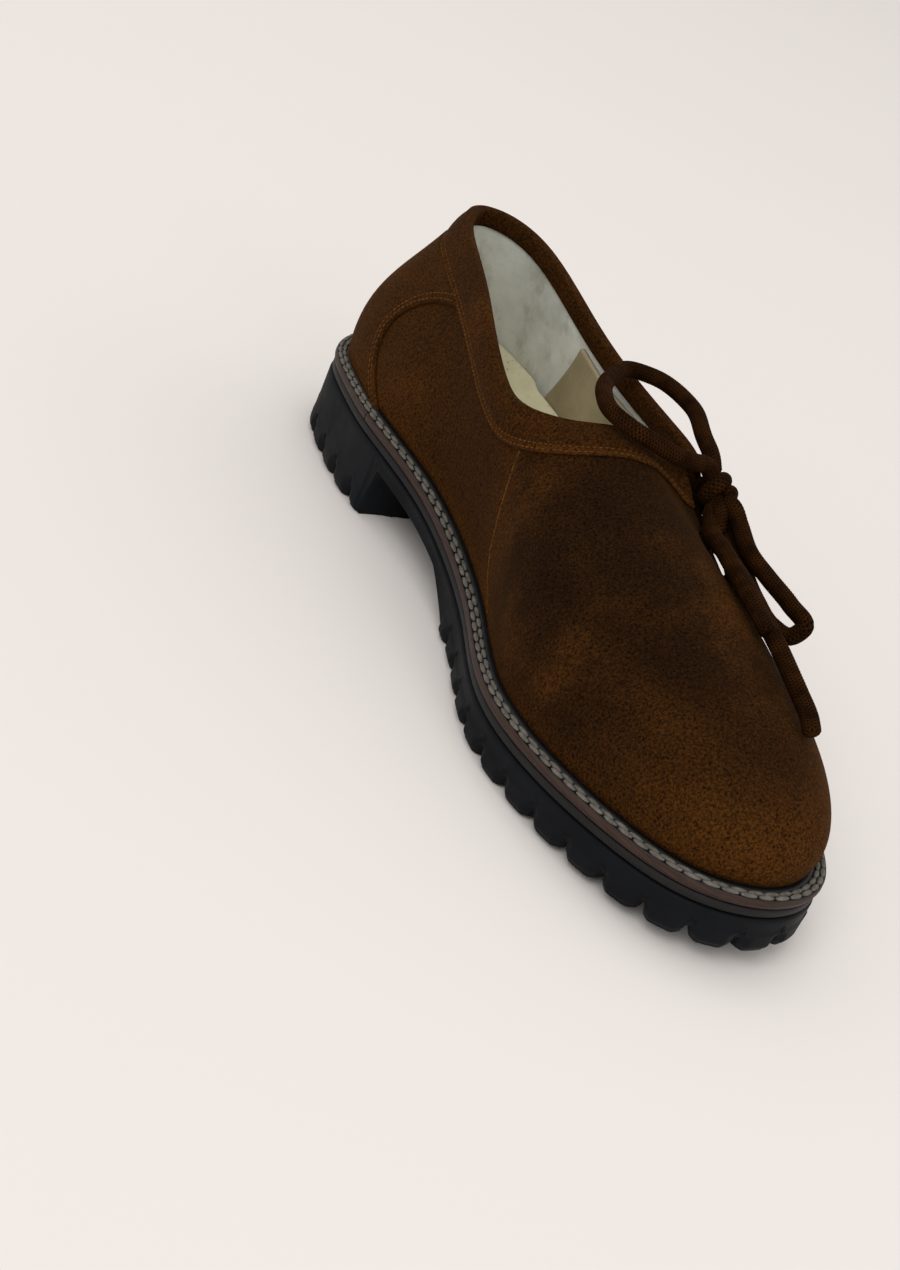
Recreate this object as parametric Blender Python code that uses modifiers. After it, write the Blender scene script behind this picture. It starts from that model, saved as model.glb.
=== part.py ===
"""A side-laced traditional half shoe for the left foot: suede upper, welted leather midsole, rubber lug sole.

Metres, +Z up. The toe points to -Y, the heel to +Y and the outer side of the foot to +X. The origin is the
middle of the shoe's box, on the floor. Every piece is worked out from the driving sizes below and from two
tables of sections: the sole's outline, and the meridians that run from the welt up to the collar.
"""

import math

import bmesh
import bpy
import numpy as np
from mathutils import Matrix, Vector

# Driving sizes of the last and of the sole under it
LENGTH = 0.306
BALL_WIDTH = 0.104
SEAT_HEIGHT = 0.0325
BALL_HEIGHT = 0.0200
TOE_SPRING = 0.006
COLLAR_HEIGHT = 0.064

# Thicknesses of what the maker cuts and stacks
UPPER_WALL = 0.0022
WELT_REACH = 0.0055
WELT_THICK = 0.0036
MIDSOLE_THICK = 0.0032
MIDSOLE_INSET = 0.0004
INSOLE_THICK = 0.0060
INSOLE_HEEL = 0.0200
INSOLE_CROWN = 0.0010
COUNTER_THICK = 0.0013
BAND_THICK = 0.0010
BAND_WIDTH = 0.0130
BAND_FOLD = 0.0060
TONGUE_THICK = 0.0018
TONGUE_DROP = 0.0075

# Lug sole
HEEL_BLOCK = 0.080
ARCH_THICK = 0.0065
SOLE_TUCK = 0.0016
SOLE_CHAMFER = 0.0020
LUG_HEIGHT = 0.0046
LUG_PITCH = 0.0145
NOTCH_DEEP = 0.0120
NOTCH_TOP = 0.0026
NOTCH_MOUTH = 0.0058
CHANNEL_WIDTH = 0.0034
CHANNEL_HEIGHT = 0.0036
CROSS_PITCH = 0.0190

# Lacing on the outer side
LACE_DIAMETER = 0.0056
HOLE_DIAMETER = 0.0070
SLIT_TOP = 0.0095
SLIT_FOOT = 0.0060
HOLE_SETBACK = 0.0062
LACE_BEND = 0.0036
LACE_STUB = 0.0011
LACE_SIDES = 2
CORD_SPACING = 1.6

# Room between pieces that touch, and the finer room that an overlay needs over a facetted wall
GAP = 0.0003
OVERLAY_GAP = 0.0006
BAND_GAP = 0.0009
SIDE_ROOM = 0.0006

# Facets
HALF_STATIONS = 30
WALL_ROWS = 12

# The sole's outline, from the back of the heel round the inner side to the toe and back on the outer side.
# along: share of LENGTH from the heel. across: share of BALL_WIDTH, inner side negative.
OUTLINE = [
    # name, along, across
    ("heel back", 0.000, 0.000),
    ("heel back inner", 0.047, -0.228),
    ("heel inner", 0.132, -0.305),
    ("seat inner", 0.230, -0.328),
    ("waist inner", 0.344, -0.288),
    ("arch inner", 0.440, -0.288),
    ("rear ball inner", 0.549, -0.350),
    ("ball inner", 0.670, -0.465),
    ("fore ball inner", 0.782, -0.462),
    ("toe inner", 0.890, -0.386),
    ("toe corner inner", 0.971, -0.255),
    ("toe tip", 1.000, -0.050),
    ("toe corner outer", 0.977, 0.155),
    ("toe outer", 0.905, 0.315),
    ("fore ball outer", 0.800, 0.440),
    ("ball outer", 0.686, 0.500),
    ("rear ball outer", 0.569, 0.470),
    ("arch outer", 0.451, 0.400),
    ("waist outer", 0.343, 0.350),
    ("seat outer", 0.225, 0.335),
    ("heel outer", 0.127, 0.320),
    ("heel back outer", 0.045, 0.220),
]

# The meridians of the upper, each from the outline point of the same name up to the collar's rim.
# along, across: the rim's place, as shares of LENGTH and BALL_WIDTH. height: rim above the seat, as a share
# of COLLAR_HEIGHT. rise, flare: the lower handle, up and outwards, as shares of the meridian's height.
# reach, drop: the upper handle, out towards the welt and down, as shares of the meridian's span and height.
MERIDIANS = [
    # name, along, across, height, rise, flare, reach, drop
    ("heel back", 0.071, 0.050, 0.990, 0.45, 0.05, 0.00, 0.40),
    ("heel back inner", 0.098, -0.087, 1.010, 0.45, 0.06, -0.05, 0.40),
    ("heel inner", 0.150, -0.183, 1.010, 0.45, 0.06, -0.05, 0.40),
    ("seat inner", 0.248, -0.221, 0.945, 0.45, 0.06, -0.05, 0.40),
    ("waist inner", 0.337, -0.250, 0.836, 0.45, 0.06, 0.00, 0.40),
    ("arch inner", 0.412, -0.279, 0.727, 0.50, 0.08, 0.10, 0.40),
    ("rear ball inner", 0.458, -0.260, 0.727, 0.50, 0.08, 0.30, 0.30),
    ("ball inner", 0.487, -0.173, 0.758, 0.45, 0.06, 0.45, 0.30),
    ("fore ball inner", 0.500, -0.087, 0.789, 0.42, 0.05, 0.45, 0.28),
    ("toe inner", 0.507, -0.029, 0.805, 0.42, 0.09, 0.45, 0.28),
    ("toe tip", 0.513, 0.029, 0.805, 0.50, 0.18, 0.34, 0.28),
    ("toe outer", 0.523, 0.087, 0.800, 0.49, 0.23, 0.23, 0.30),
    ("fore ball outer", 0.536, 0.144, 0.773, 0.42, 0.13, 0.21, 0.32),
    ("ball outer", 0.546, 0.212, 0.734, 0.42, 0.09, 0.21, 0.32),
    ("rear ball outer", 0.516, 0.288, 0.727, 0.50, 0.06, 0.25, 0.30),
    ("arch outer", 0.451, 0.308, 0.742, 0.50, 0.05, 0.10, 0.40),
    ("waist outer", 0.366, 0.308, 0.758, 0.45, 0.05, 0.00, 0.40),
    ("seat outer", 0.268, 0.288, 0.852, 0.45, 0.05, -0.05, 0.40),
    ("heel outer", 0.163, 0.250, 0.980, 0.45, 0.05, -0.05, 0.40),
    ("heel back outer", 0.098, 0.160, 1.016, 0.45, 0.05, -0.05, 0.40),
]

# The heel counter's front edge, up the wall: along is its share of LENGTH on the sole's outline.
COUNTER_EDGE = [
    # share of the way up to the collar band, along on the inner side, along on the outer side
    (0.00, 0.225, 0.225),
    (0.20, 0.185, 0.185),
    (0.45, 0.160, 0.160),
    (0.66, 0.165, 0.165),
    (0.78, 0.205, 0.205),
    (0.90, 0.270, 0.270),
    (1.00, 0.300, 0.300),
]

# Where the side lacing lies: the slit's meridian, and the wall shares of its foot and of its rows of holes
SLIT_STATION = 0.640
SLIT_FOOT_SHARE = 0.26
HOLE_ROWS = (0.70, 0.53, 0.36)

# The tongue's two ends along the outer side, as shares of LENGTH, and its foot up the wall
TONGUE_REAR = 0.240
TONGUE_FRONT = 0.750
TONGUE_FOOT = 0.14

# The knot is a wrap round the bow's middle: its centre and axis in the shoe's own frame, and its turns.
KNOT_CENTRE = (0.0343, -0.0176, 0.0759)
KNOT_AXIS = (0.34, -0.78, -0.52)
KNOT_RADIUS = 0.0030
KNOT_PITCH = 0.0060
KNOT_TURNS = 1.6

# The bow's free cords, from the knot outwards. x, y, z: metres in the shoe's own frame.
LACE_ROUTES = {
    "lace_loop_upper": [
        # x, y, z
        (0.0348, -0.0092, 0.0828),
        (0.0358, -0.0010, 0.0850),
        (0.0416, 0.0191, 0.0865),
        (0.0375, 0.0336, 0.0870),
        (0.0271, 0.0375, 0.0870),
        (0.0098, 0.0277, 0.0872),
        (-0.0039, 0.0126, 0.0878),
        (-0.0085, -0.0020, 0.0886),
        (-0.0048, -0.0100, 0.0884),
        (0.0040, -0.0148, 0.0873),
        (0.0129, -0.0177, 0.0858),
        (0.0220, -0.0165, 0.0840),
        (0.0300, -0.0137, 0.0815),
    ],
    "lace_loop_lower": [
        # x, y, z
        (0.0367, -0.0266, 0.0750),
        (0.0370, -0.0315, 0.0718),
        (0.0362, -0.0417, 0.0683),
        (0.0375, -0.0524, 0.0665),
        (0.0394, -0.0643, 0.0648),
        (0.0398, -0.0734, 0.0628),
        (0.0377, -0.0727, 0.0590),
        (0.0357, -0.0652, 0.0573),
        (0.0355, -0.0554, 0.0588),
        (0.0364, -0.0468, 0.0608),
        (0.0390, -0.0380, 0.0640),
        (0.0415, -0.0290, 0.0680),
        (0.0412, -0.0232, 0.0728),
    ],
    "lace_end_long": [
        # x, y, z
        (0.0375, -0.0216, 0.0682),
        (0.0355, -0.0270, 0.0643),
        (0.0325, -0.0330, 0.0644),
        (0.0295, -0.0410, 0.0639),
        (0.0270, -0.0500, 0.0638),
        (0.0260, -0.0600, 0.0629),
        (0.0260, -0.0680, 0.0615),
        (0.0257, -0.0770, 0.0600),
        (0.0248, -0.0870, 0.0584),
        (0.0230, -0.0960, 0.0572),
        (0.0205, -0.1030, 0.0566),
    ],
    "lace_end_short": [
        # x, y, z
        (0.0331, -0.0250, 0.0704),
        (0.0285, -0.0290, 0.0689),
        (0.0245, -0.0360, 0.0693),
        (0.0215, -0.0440, 0.0693),
        (0.0200, -0.0520, 0.0686),
        (0.0195, -0.0600, 0.0674),
        (0.0193, -0.0680, 0.0660),
        (0.0190, -0.0770, 0.0642),
    ],
}

# The welt's butt joints, the tread's ends, the footbed's slope and the toe spring's start, as shares of LENGTH.
# INSOLE_SHARE: how far up the wall the footbed's edge may lie. DRAW_IN: where its edge makes room for the tongue.
WELT_JOINT = 0.218
ARCH_END = 0.500
ARCH_RAMP = 0.430
INSOLE_FALL = 0.350
INSOLE_LOW = 0.500
INSOLE_SHARE = 0.5
DRAW_IN = 0.04
SPRING_START = 0.706
SLOPE_START = 0.216
SLOPE_END = 0.608


def remove_old_objects():
    for old in list(bpy.data.objects):
        bpy.data.objects.remove(old, do_unlink=True)


def collection(name, helper=False):
    made = bpy.data.collections.new(name)
    bpy.context.scene.collection.children.link(made)
    made.hide_render = helper
    return made


def material(name, colour, roughness, metallic=0.0):
    made = bpy.data.materials.new(name)
    made.use_nodes = True
    shader = made.node_tree.nodes["Principled BSDF"]
    shader.inputs["Base Color"].default_value = (*colour, 1.0)
    shader.inputs["Roughness"].default_value = roughness
    shader.inputs["Metallic"].default_value = metallic
    made.diffuse_color = (*colour, 1.0)
    return made


def closed_spline(rows, keys, at):
    """Points at the keys `at` of the smooth closed curve through the rows. One turn of the keys is 1."""
    rows = np.asarray(rows, float)
    keys = np.asarray(keys, float)
    count = len(keys)
    step = np.diff(np.append(keys, keys[0] + 1.0))
    slope = (np.roll(rows, -1, axis=0) - rows) / step[:, None]
    system = np.zeros((count, count))
    for i in range(count):
        system[i, i - 1] = step[i - 1]
        system[i, i] = 2 * (step[i - 1] + step[i])
        system[i, (i + 1) % count] = step[i]
    bend = np.linalg.solve(system, 6 * (slope - np.roll(slope, 1, axis=0)))
    turned = np.mod(np.asarray(at, float) - keys[0], 1.0) + keys[0]
    i = np.searchsorted(keys, turned, side="right") - 1
    after = (i + 1) % count
    run = (turned - keys[i])[:, None]
    left = step[i][:, None] - run
    width = step[i][:, None]
    return (
        (bend[i] * left**3 + bend[after] * run**3) / (6 * width)
        + (rows[i] / width - bend[i] * width / 6) * left
        + (rows[after] / width - bend[after] * width / 6) * run
    )


def smooth_step(start, end, x):
    t = np.clip((x - start) / (end - start), 0, 1)
    return t * t * (3 - 2 * t)


# The outline's keys are its chord lengths, so that one key names the same place on every ring of the shoe.
OUTLINE_POINTS = np.array([(along * LENGTH, across * BALL_WIDTH) for _, along, across in OUTLINE])
CHORDS = np.linalg.norm(np.roll(OUTLINE_POINTS, -1, axis=0) - OUTLINE_POINTS, axis=1)
OUTLINE_KEYS = (np.cumsum(CHORDS) - CHORDS) / CHORDS.sum()
OUTLINE_ROW = {name: i for i, (name, _, _) in enumerate(OUTLINE)}
DENSE = np.linspace(0, 1, 2001)
DENSE_POINTS = closed_spline(OUTLINE_POINTS, OUTLINE_KEYS, DENSE)
TOE_INDEX = int(np.argmax(DENSE_POINTS[:, 0]))
HEEL_ALONG = DENSE_POINTS[:, 0].min()
TOE_ALONG = DENSE_POINTS[:, 0].max()
MIDDLE_ALONG = (HEEL_ALONG + TOE_ALONG) / 2
MIDDLE_ACROSS = (DENSE_POINTS[:, 1].min() + DENSE_POINTS[:, 1].max()) / 2


def key_at(along, outer):
    """The outline's key at a length along the shoe, on its outer or its inner side."""
    if outer:
        side = DENSE[TOE_INDEX:][::-1], DENSE_POINTS[TOE_INDEX:, 0][::-1]
    else:
        side = DENSE[: TOE_INDEX + 1], DENSE_POINTS[: TOE_INDEX + 1, 0]
    return np.interp(along, side[1], side[0])


def station_keys():
    """Keys that pair up across the sole, close together round the heel and the toe."""
    turn = np.arange(2 * HALF_STATIONS) / HALF_STATIONS
    along = HEEL_ALONG + (TOE_ALONG - HEEL_ALONG) * (1 - np.cos(math.pi * turn)) / 2
    keys = np.where(turn <= 1, key_at(along, False), key_at(along, True))
    keys[0] = 0.0
    keys[HALF_STATIONS] = DENSE[TOE_INDEX]
    return keys


STATIONS = station_keys()


def outline(keys, inset):
    """Points (along, across) of the sole's outline, moved in by the inset, and its outward normals."""
    keys = np.atleast_1d(keys)
    points = closed_spline(OUTLINE_POINTS, OUTLINE_KEYS, keys)
    small = 1e-4
    tangent = closed_spline(OUTLINE_POINTS, OUTLINE_KEYS, keys + small)
    tangent = tangent - closed_spline(OUTLINE_POINTS, OUTLINE_KEYS, keys - small)
    outward = np.stack([tangent[:, 1], -tangent[:, 0]], axis=1)
    outward = outward / np.linalg.norm(outward, axis=1)[:, None]
    return points - outward * inset, outward


def place(along, across, height):
    """World points from lengths along and across the sole and heights above the floor."""
    along, across, height = np.broadcast_arrays(along, across, height)
    return np.stack([across - MIDDLE_ACROSS, MIDDLE_ALONG - along, height], axis=-1)


def welt_height(along):
    """The welt's top: high at the seat, down through the waist to the ball, and up again at the toe."""
    share = along / LENGTH
    slope = (BALL_HEIGHT - SEAT_HEIGHT) * smooth_step(SLOPE_START, SLOPE_END, share)
    return SEAT_HEIGHT + slope + spring(along)


def spring(along):
    share = np.clip((along / LENGTH - SPRING_START) / (1 - SPRING_START), 0, 1)
    return TOE_SPRING * share**1.8


def midsole_top(along):
    return welt_height(along) - WELT_THICK - GAP


def sole_top(along):
    return midsole_top(along) - MIDSOLE_THICK - GAP


def mesh_object(name, points, faces, target, finish=None):
    mesh = bpy.data.meshes.new(name)
    mesh.from_pydata([tuple(p) for p in points], [], faces)
    mesh.validate()
    made = bpy.data.objects.new(name, mesh)
    target.objects.link(made)
    if finish is not None:
        mesh.materials.append(finish)
        mesh.shade_smooth()
        mesh.set_sharp_from_angle(angle=math.radians(40))
    return made


def face_outwards(made):
    sheet = bmesh.new()
    sheet.from_mesh(made.data)
    bmesh.ops.recalc_face_normals(sheet, faces=sheet.faces)
    sheet.to_mesh(made.data)
    sheet.free()


def grid_faces(rows, columns, closed):
    """Quads between the points of a grid that is stored row after row."""
    faces = []
    for row in range(rows - 1):
        for column in range(columns if closed else columns - 1):
            after = (column + 1) % columns
            low, high = row * columns, (row + 1) * columns
            faces.append((low + column, low + after, high + after, high + column))
    return faces


def rung_faces(first, count):
    """Faces that close a ring of stations straight across the sole, heel to toe."""
    faces = [(first, first + 1, first + count - 1)]
    for i in range(1, count // 2 - 1):
        faces.append((first + i, first + i + 1, first + count - i - 1, first + count - i))
    faces.append((first + count // 2 - 1, first + count // 2, first + count // 2 + 1))
    return faces


def plate(name, levels, target, finish):
    """A full sole layer from rings (inset, height function), the lowest ring first."""
    count = len(STATIONS)
    points = []
    for inset, height in levels:
        ring, _ = outline(STATIONS, inset)
        points.extend(place(ring[:, 0], ring[:, 1], height(ring[:, 0])))
    faces = grid_faces(len(levels), count, True)
    faces += rung_faces(0, count) + rung_faces((len(levels) - 1) * count, count)
    made = mesh_object(name, points, faces, target, finish)
    face_outwards(made)
    return made


def cut(body, cutter, name):
    modifier = body.modifiers.new(name, "BOOLEAN")
    modifier.operation = "DIFFERENCE"
    modifier.object = cutter
    cutter.display_type = "WIRE"
    cutter.hide_render = True


def make_outsole(target, cutters, finish):
    """The moulded rubber unit: heel block, arch and forepart, with its lugs cut from below."""
    levels = [
        (SOLE_TUCK, spring),
        (SOLE_TUCK / 2, lambda along: spring(along) + SOLE_CHAMFER),
        (0.0, lambda along: (spring(along) + sole_top(along)) / 2),
        (0.0, sole_top),
    ]
    made = plate("outsole", levels, target, finish)
    cut(made, arch_cutter(cutters), "arch")
    cut(made, notch_cutter(cutters), "edge notches")
    cut(made, channel_cutter(cutters), "channels")
    return made


def arch_cutter(cutters):
    """What is missing between the heel's breast and the forepart's tread, as a side view pushed across."""
    below = -0.005
    side = [(HEEL_BLOCK, below), (HEEL_BLOCK + 0.002, 0.0)]
    for share in (0.275, 0.310, 0.350, 0.390, ARCH_RAMP):
        along = share * LENGTH
        side.append((along, float(sole_top(along)) - ARCH_THICK))
    side += [(ARCH_END * LENGTH, 0.0), (ARCH_END * LENGTH + 0.004, below)]
    half = BALL_WIDTH
    points = [place(a, MIDDLE_ACROSS + w, h) for w in (-half, half) for a, h in side]
    count = len(side)
    faces = grid_faces(2, count, True) + [tuple(range(count)), tuple(range(count, 2 * count))]
    made = mesh_object("arch_cutter", points, faces, cutters)
    face_outwards(made)
    return made


def arc_keys(start, end, pitch):
    """Keys a pitch apart along the outline, in the middle of each lug's share of the stretch."""
    dense = np.linspace(start, end, 400)
    points = closed_spline(OUTLINE_POINTS, OUTLINE_KEYS, dense)
    run = np.append(0, np.cumsum(np.linalg.norm(np.diff(points, axis=0), axis=1)))
    count = max(2, round(run[-1] / pitch))
    return np.interp((np.arange(count) + 0.5) / count * run[-1], run, dense)


def notch_cutter(cutters):
    """A tapered slot between every two edge lugs, square to the outline."""
    fore = arc_keys(key_at(ARCH_END * LENGTH, False), key_at(ARCH_END * LENGTH, True), LUG_PITCH)
    heel_outer = key_at(HEEL_BLOCK, True) - 1.0
    heel = arc_keys(heel_outer, key_at(HEEL_BLOCK, False), LUG_PITCH)
    shape = bmesh.new()
    over = 0.003
    for key in np.concatenate([fore, heel]):
        point, outward = outline(key, 0.0)
        along, across = point[0]
        inwards = Vector((-outward[0][1], outward[0][0], 0.0))
        side = Vector((0, 0, 1)).cross(inwards)
        foot = float(spring(along))
        slot = bmesh.ops.create_cube(shape, size=1.0)["verts"]
        start = Vector(place(along, across, foot))
        for vert in slot:
            x, y, z = vert.co
            width = NOTCH_MOUTH if z < 0 else NOTCH_TOP
            reach = NOTCH_DEEP if x > 0 else -over
            lift = -over if z < 0 else LUG_HEIGHT
            spread = 1 + over / LUG_HEIGHT * (NOTCH_MOUTH - NOTCH_TOP) / NOTCH_MOUTH if z < 0 else 1
            vert.co = start + inwards * reach + side * (y * width * spread) + Vector((0, 0, lift))
    mesh = bpy.data.meshes.new("notch_cutter")
    shape.to_mesh(mesh)
    shape.free()
    made = bpy.data.objects.new("notch_cutter", mesh)
    cutters.objects.link(made)
    face_outwards(made)
    return made


def channel_cutter(cutters):
    """Channels across the middle of the tread, from the inner notches to the outer ones."""
    shape = bmesh.new()
    over = 0.003
    stretches = [
        (ARCH_END * LENGTH + 0.008, LENGTH * 0.93),
        (0.016, HEEL_BLOCK - 0.008),
    ]
    for start, end in stretches:
        count = round((end - start) / CROSS_PITCH)
        for i in range(count):
            along = start + (end - start) * (i + 0.5) / count
            inner = closed_spline(OUTLINE_POINTS, OUTLINE_KEYS, [key_at(along, False)])[0][1]
            outer = closed_spline(OUTLINE_POINTS, OUTLINE_KEYS, [key_at(along, True)])[0][1]
            room = NOTCH_DEEP + CHANNEL_WIDTH
            inner, outer = inner + room, outer - room
            bar = bmesh.ops.create_cube(shape, size=1.0)["verts"]
            foot = float(spring(along))
            centre = Vector(place(along, (inner + outer) / 2, foot + (CHANNEL_HEIGHT - over) / 2))
            for vert in bar:
                x, y, z = vert.co
                wide = x * (outer - inner)
                vert.co = centre + Vector((wide, y * CHANNEL_WIDTH, z * (CHANNEL_HEIGHT + over)))
    mesh = bpy.data.meshes.new("channel_cutter")
    shape.to_mesh(mesh)
    shape.free()
    made = bpy.data.objects.new("channel_cutter", mesh)
    cutters.objects.link(made)
    face_outwards(made)
    return made


def make_midsole(target, finish):
    levels = [
        (MIDSOLE_INSET, lambda along: midsole_top(along) - MIDSOLE_THICK),
        (MIDSOLE_INSET, midsole_top),
    ]
    return plate("midsole", levels, target, finish)


def insole_top(along):
    """The footbed's top: thick under the heel and the arch, and thin under the ball and the toes."""
    thinner = (INSOLE_THICK - INSOLE_HEEL) * smooth_step(INSOLE_FALL, INSOLE_LOW, along / LENGTH)
    return midsole_top(along) + GAP + INSOLE_HEEL + thinner


def inside_wall(height, room):
    """Points of the upper's lining at heights for the stations, moved in from it by the room."""
    shares = np.linspace(0, INSOLE_SHARE, 41)
    points = []
    for key, level, aside in zip(STATIONS, height, room):
        line = off_wall(np.full(len(shares), key), shares, -(UPPER_WALL + aside))
        points.append([np.interp(level, line[:, 2], line[:, axis]) for axis in range(3)])
    return np.array(points)


def make_insole(target, finish):
    """The insole board and its footbed, down inside the welt and up between the upper's walls."""
    board, _ = outline(STATIONS, WELT_REACH + UPPER_WALL + SIDE_ROOM)
    along = board[:, 0]
    foot, top = welt_height(along) + GAP, insole_top(along)
    shoulder = top - INSOLE_CROWN
    outer = STATIONS > STATIONS[HALF_STATIONS]
    by_tongue = outer * smooth_step(TONGUE_REAR - DRAW_IN, TONGUE_REAR - DRAW_IN / 4, along / LENGTH)
    room = SIDE_ROOM + (TONGUE_THICK + 2 * SIDE_ROOM) * by_tongue
    rings = [place(along, board[:, 1], height) for height in (midsole_top(along) + GAP, foot)]
    rings.append(inside_wall((foot + shoulder) / 2, room))
    rings.append(inside_wall(shoulder, room))
    rings.append(inside_wall(top, room + INSOLE_CROWN))
    count = len(STATIONS)
    faces = grid_faces(len(rings), count, True)
    faces += rung_faces(0, count) + rung_faces((len(rings) - 1) * count, count)
    made = mesh_object("insole", np.concatenate(rings), faces, target, finish)
    face_outwards(made)
    return made


def make_welt(name, start, end, target, finish):
    """A strip of welting between two keys of the outline, with square ends."""
    inside = STATIONS[(STATIONS > start + 0.003) & (STATIONS < end - 0.003)]
    if start < 0:
        before = STATIONS - 1.0
        inside = np.append(before[before > start + 0.003], inside)
    keys = np.concatenate([[start], inside, [end]])
    inner = WELT_REACH + UPPER_WALL + SIDE_ROOM / 2
    corners = [(0.0, 0.0), (0.0, WELT_THICK), (inner, WELT_THICK), (inner, 0.0)]
    points = []
    for key in keys:
        for inset, up in corners:
            point, _ = outline(key, inset)
            along, across = point[0]
            points.append(place(along, across, welt_height(along) - WELT_THICK + up))
    faces = grid_faces(len(keys), len(corners), True)
    last = (len(keys) - 1) * len(corners)
    faces += [(0, 1, 2, 3), (last, last + 1, last + 2, last + 3)]
    made = mesh_object(name, points, faces, target, finish)
    face_outwards(made)
    return made


def meridian_rows():
    keys = [OUTLINE_KEYS[OUTLINE_ROW[name]] for name, *_ in MERIDIANS]
    sizes = (LENGTH, BALL_WIDTH, COLLAR_HEIGHT, 1, 1, 1, 1)
    return np.array([row[1:] for row in MERIDIANS]) * np.array(sizes), keys


MERIDIAN_ROWS, MERIDIAN_KEYS = meridian_rows()


def wall(keys, shares):
    """Points of the upper's outer face, for matching arrays of keys and of shares up the wall."""
    keys, shares = np.broadcast_arrays(np.asarray(keys, float), np.asarray(shares, float))
    flat, v = keys.ravel(), shares.ravel()[:, None]
    foot, outward = outline(flat, WELT_REACH)
    foot_height = welt_height(foot[:, 0]) + GAP
    row = closed_spline(MERIDIAN_ROWS, MERIDIAN_KEYS, flat)
    rim = row[:, :2]
    rim_height = SEAT_HEIGHT + row[:, 2]
    rise, flare, reach, drop = row[:, 3:].T
    tall = rim_height - foot_height
    low = np.column_stack([foot + outward * (flare * tall)[:, None], foot_height + rise * tall])
    high = np.column_stack([rim - (rim - foot) * reach[:, None], rim_height - drop * tall])
    foot = np.column_stack([foot, foot_height])
    rim = np.column_stack([rim, rim_height])
    curve = (1 - v) ** 3 * foot + 3 * v * (1 - v) ** 2 * low + 3 * v * v * (1 - v) * high + v**3 * rim
    return place(curve[:, 0], curve[:, 1], curve[:, 2]).reshape(*keys.shape, 3)


def wall_normal(keys, shares):
    """Outward unit normals of the same face."""
    small = 1e-3
    shares = np.clip(shares, small, 1 - small)
    round_it = wall(keys + small, shares) - wall(keys - small, shares)
    up_it = wall(keys, shares + small) - wall(keys, shares - small)
    normal = np.cross(round_it, up_it)
    return normal / np.linalg.norm(normal, axis=-1)[..., None]


def off_wall(keys, shares, distance):
    """Points off the upper's outer face, outwards where the distance is positive."""
    keys, shares, distance = np.broadcast_arrays(keys, shares, distance)
    return wall(keys, shares) + wall_normal(keys, shares) * distance[..., None]


def share_below_rim(keys, down):
    """The share up the wall of the place a given length below the rim."""
    shares = np.linspace(0, 1, 61)
    found = []
    for key in np.atleast_1d(keys):
        line = wall(key, shares)
        run = np.append(0, np.cumsum(np.linalg.norm(np.diff(line, axis=0), axis=1)))
        found.append(np.interp(run[-1] - down, run, shares))
    return np.array(found)


def solidify(made, thickness, offset):
    modifier = made.modifiers.new("wall", "SOLIDIFY")
    modifier.thickness = thickness
    modifier.offset = offset
    modifier.use_even_offset = True
    return modifier


def sheet(name, points, closed, thickness, offset, target, finish):
    """A sheet through a grid of points, rows up the wall, given its thickness."""
    rows, columns, _ = points.shape
    faces = grid_faces(rows, columns, closed)
    made = mesh_object(name, points.reshape(-1, 3), faces, target, finish)
    solidify(made, thickness, offset)
    return made


SLIT_KEY = float(key_at(SLIT_STATION * LENGTH, True))


def slit_frame(share, sideways=0.0, distance=0.0):
    """A point by the slit: up the wall by its share, sideways along the wall (front negative) and off it."""
    along_wall = wall(SLIT_KEY + 1e-3, share) - wall(SLIT_KEY - 1e-3, share)
    key = SLIT_KEY + sideways / (np.linalg.norm(along_wall) / 2e-3)
    return Vector(off_wall(key, share, distance)), Vector(wall_normal(np.array(key), np.array(share)))


def make_upper(target, cutters, finish):
    shares = np.linspace(0, 1, WALL_ROWS) ** 0.9
    points = wall(STATIONS[None, :], shares[:, None])
    made = sheet("upper", points, True, UPPER_WALL, -1, target, finish)
    cut(made, slit_cutter(cutters, "slit_cutter", SLIT_TOP, SLIT_FOOT), "lacing slit")
    cut(made, hole_cutter(cutters), "lace holes")
    return made


def slit_cutter(cutters, name, top, foot):
    """A wedge pushed through the outer wall, from above the rim down to the slit's round foot."""
    middle, normal = slit_frame((1 + SLIT_FOOT_SHARE) / 2)
    up = slit_frame(0.98)[0] - slit_frame(SLIT_FOOT_SHARE)[0]
    up = (up - normal * up.dot(normal)).normalized()
    side = normal.cross(up)
    bottom = (slit_frame(SLIT_FOOT_SHARE)[0] - middle).dot(up)
    head = (slit_frame(1.0)[0] - middle).dot(up) + 0.02
    shape = [(-top / 2, head), (top / 2, head)]
    for step in range(7):
        angle = math.pi * step / 6
        shape.append((foot / 2 * math.cos(angle), bottom - foot / 2 * math.sin(angle) + foot / 2))
    through = 0.016
    points = [
        middle + side * a + up * b + normal * depth for depth in (-through, through) for a, b in shape
    ]
    count = len(shape)
    faces = grid_faces(2, count, True) + [tuple(range(count)), tuple(range(count, 2 * count))]
    made = mesh_object(name, points, faces, cutters)
    face_outwards(made)
    return made


def hole_side(row_share, front):
    """How far a lace hole lies from the slit's middle, with its sign."""
    rise = (row_share - SLIT_FOOT_SHARE) / (1 - SLIT_FOOT_SHARE)
    half = (SLIT_FOOT + (SLIT_TOP - SLIT_FOOT) * rise) / 2
    return (-1 if front else 1) * (half + HOLE_SETBACK)


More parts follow.
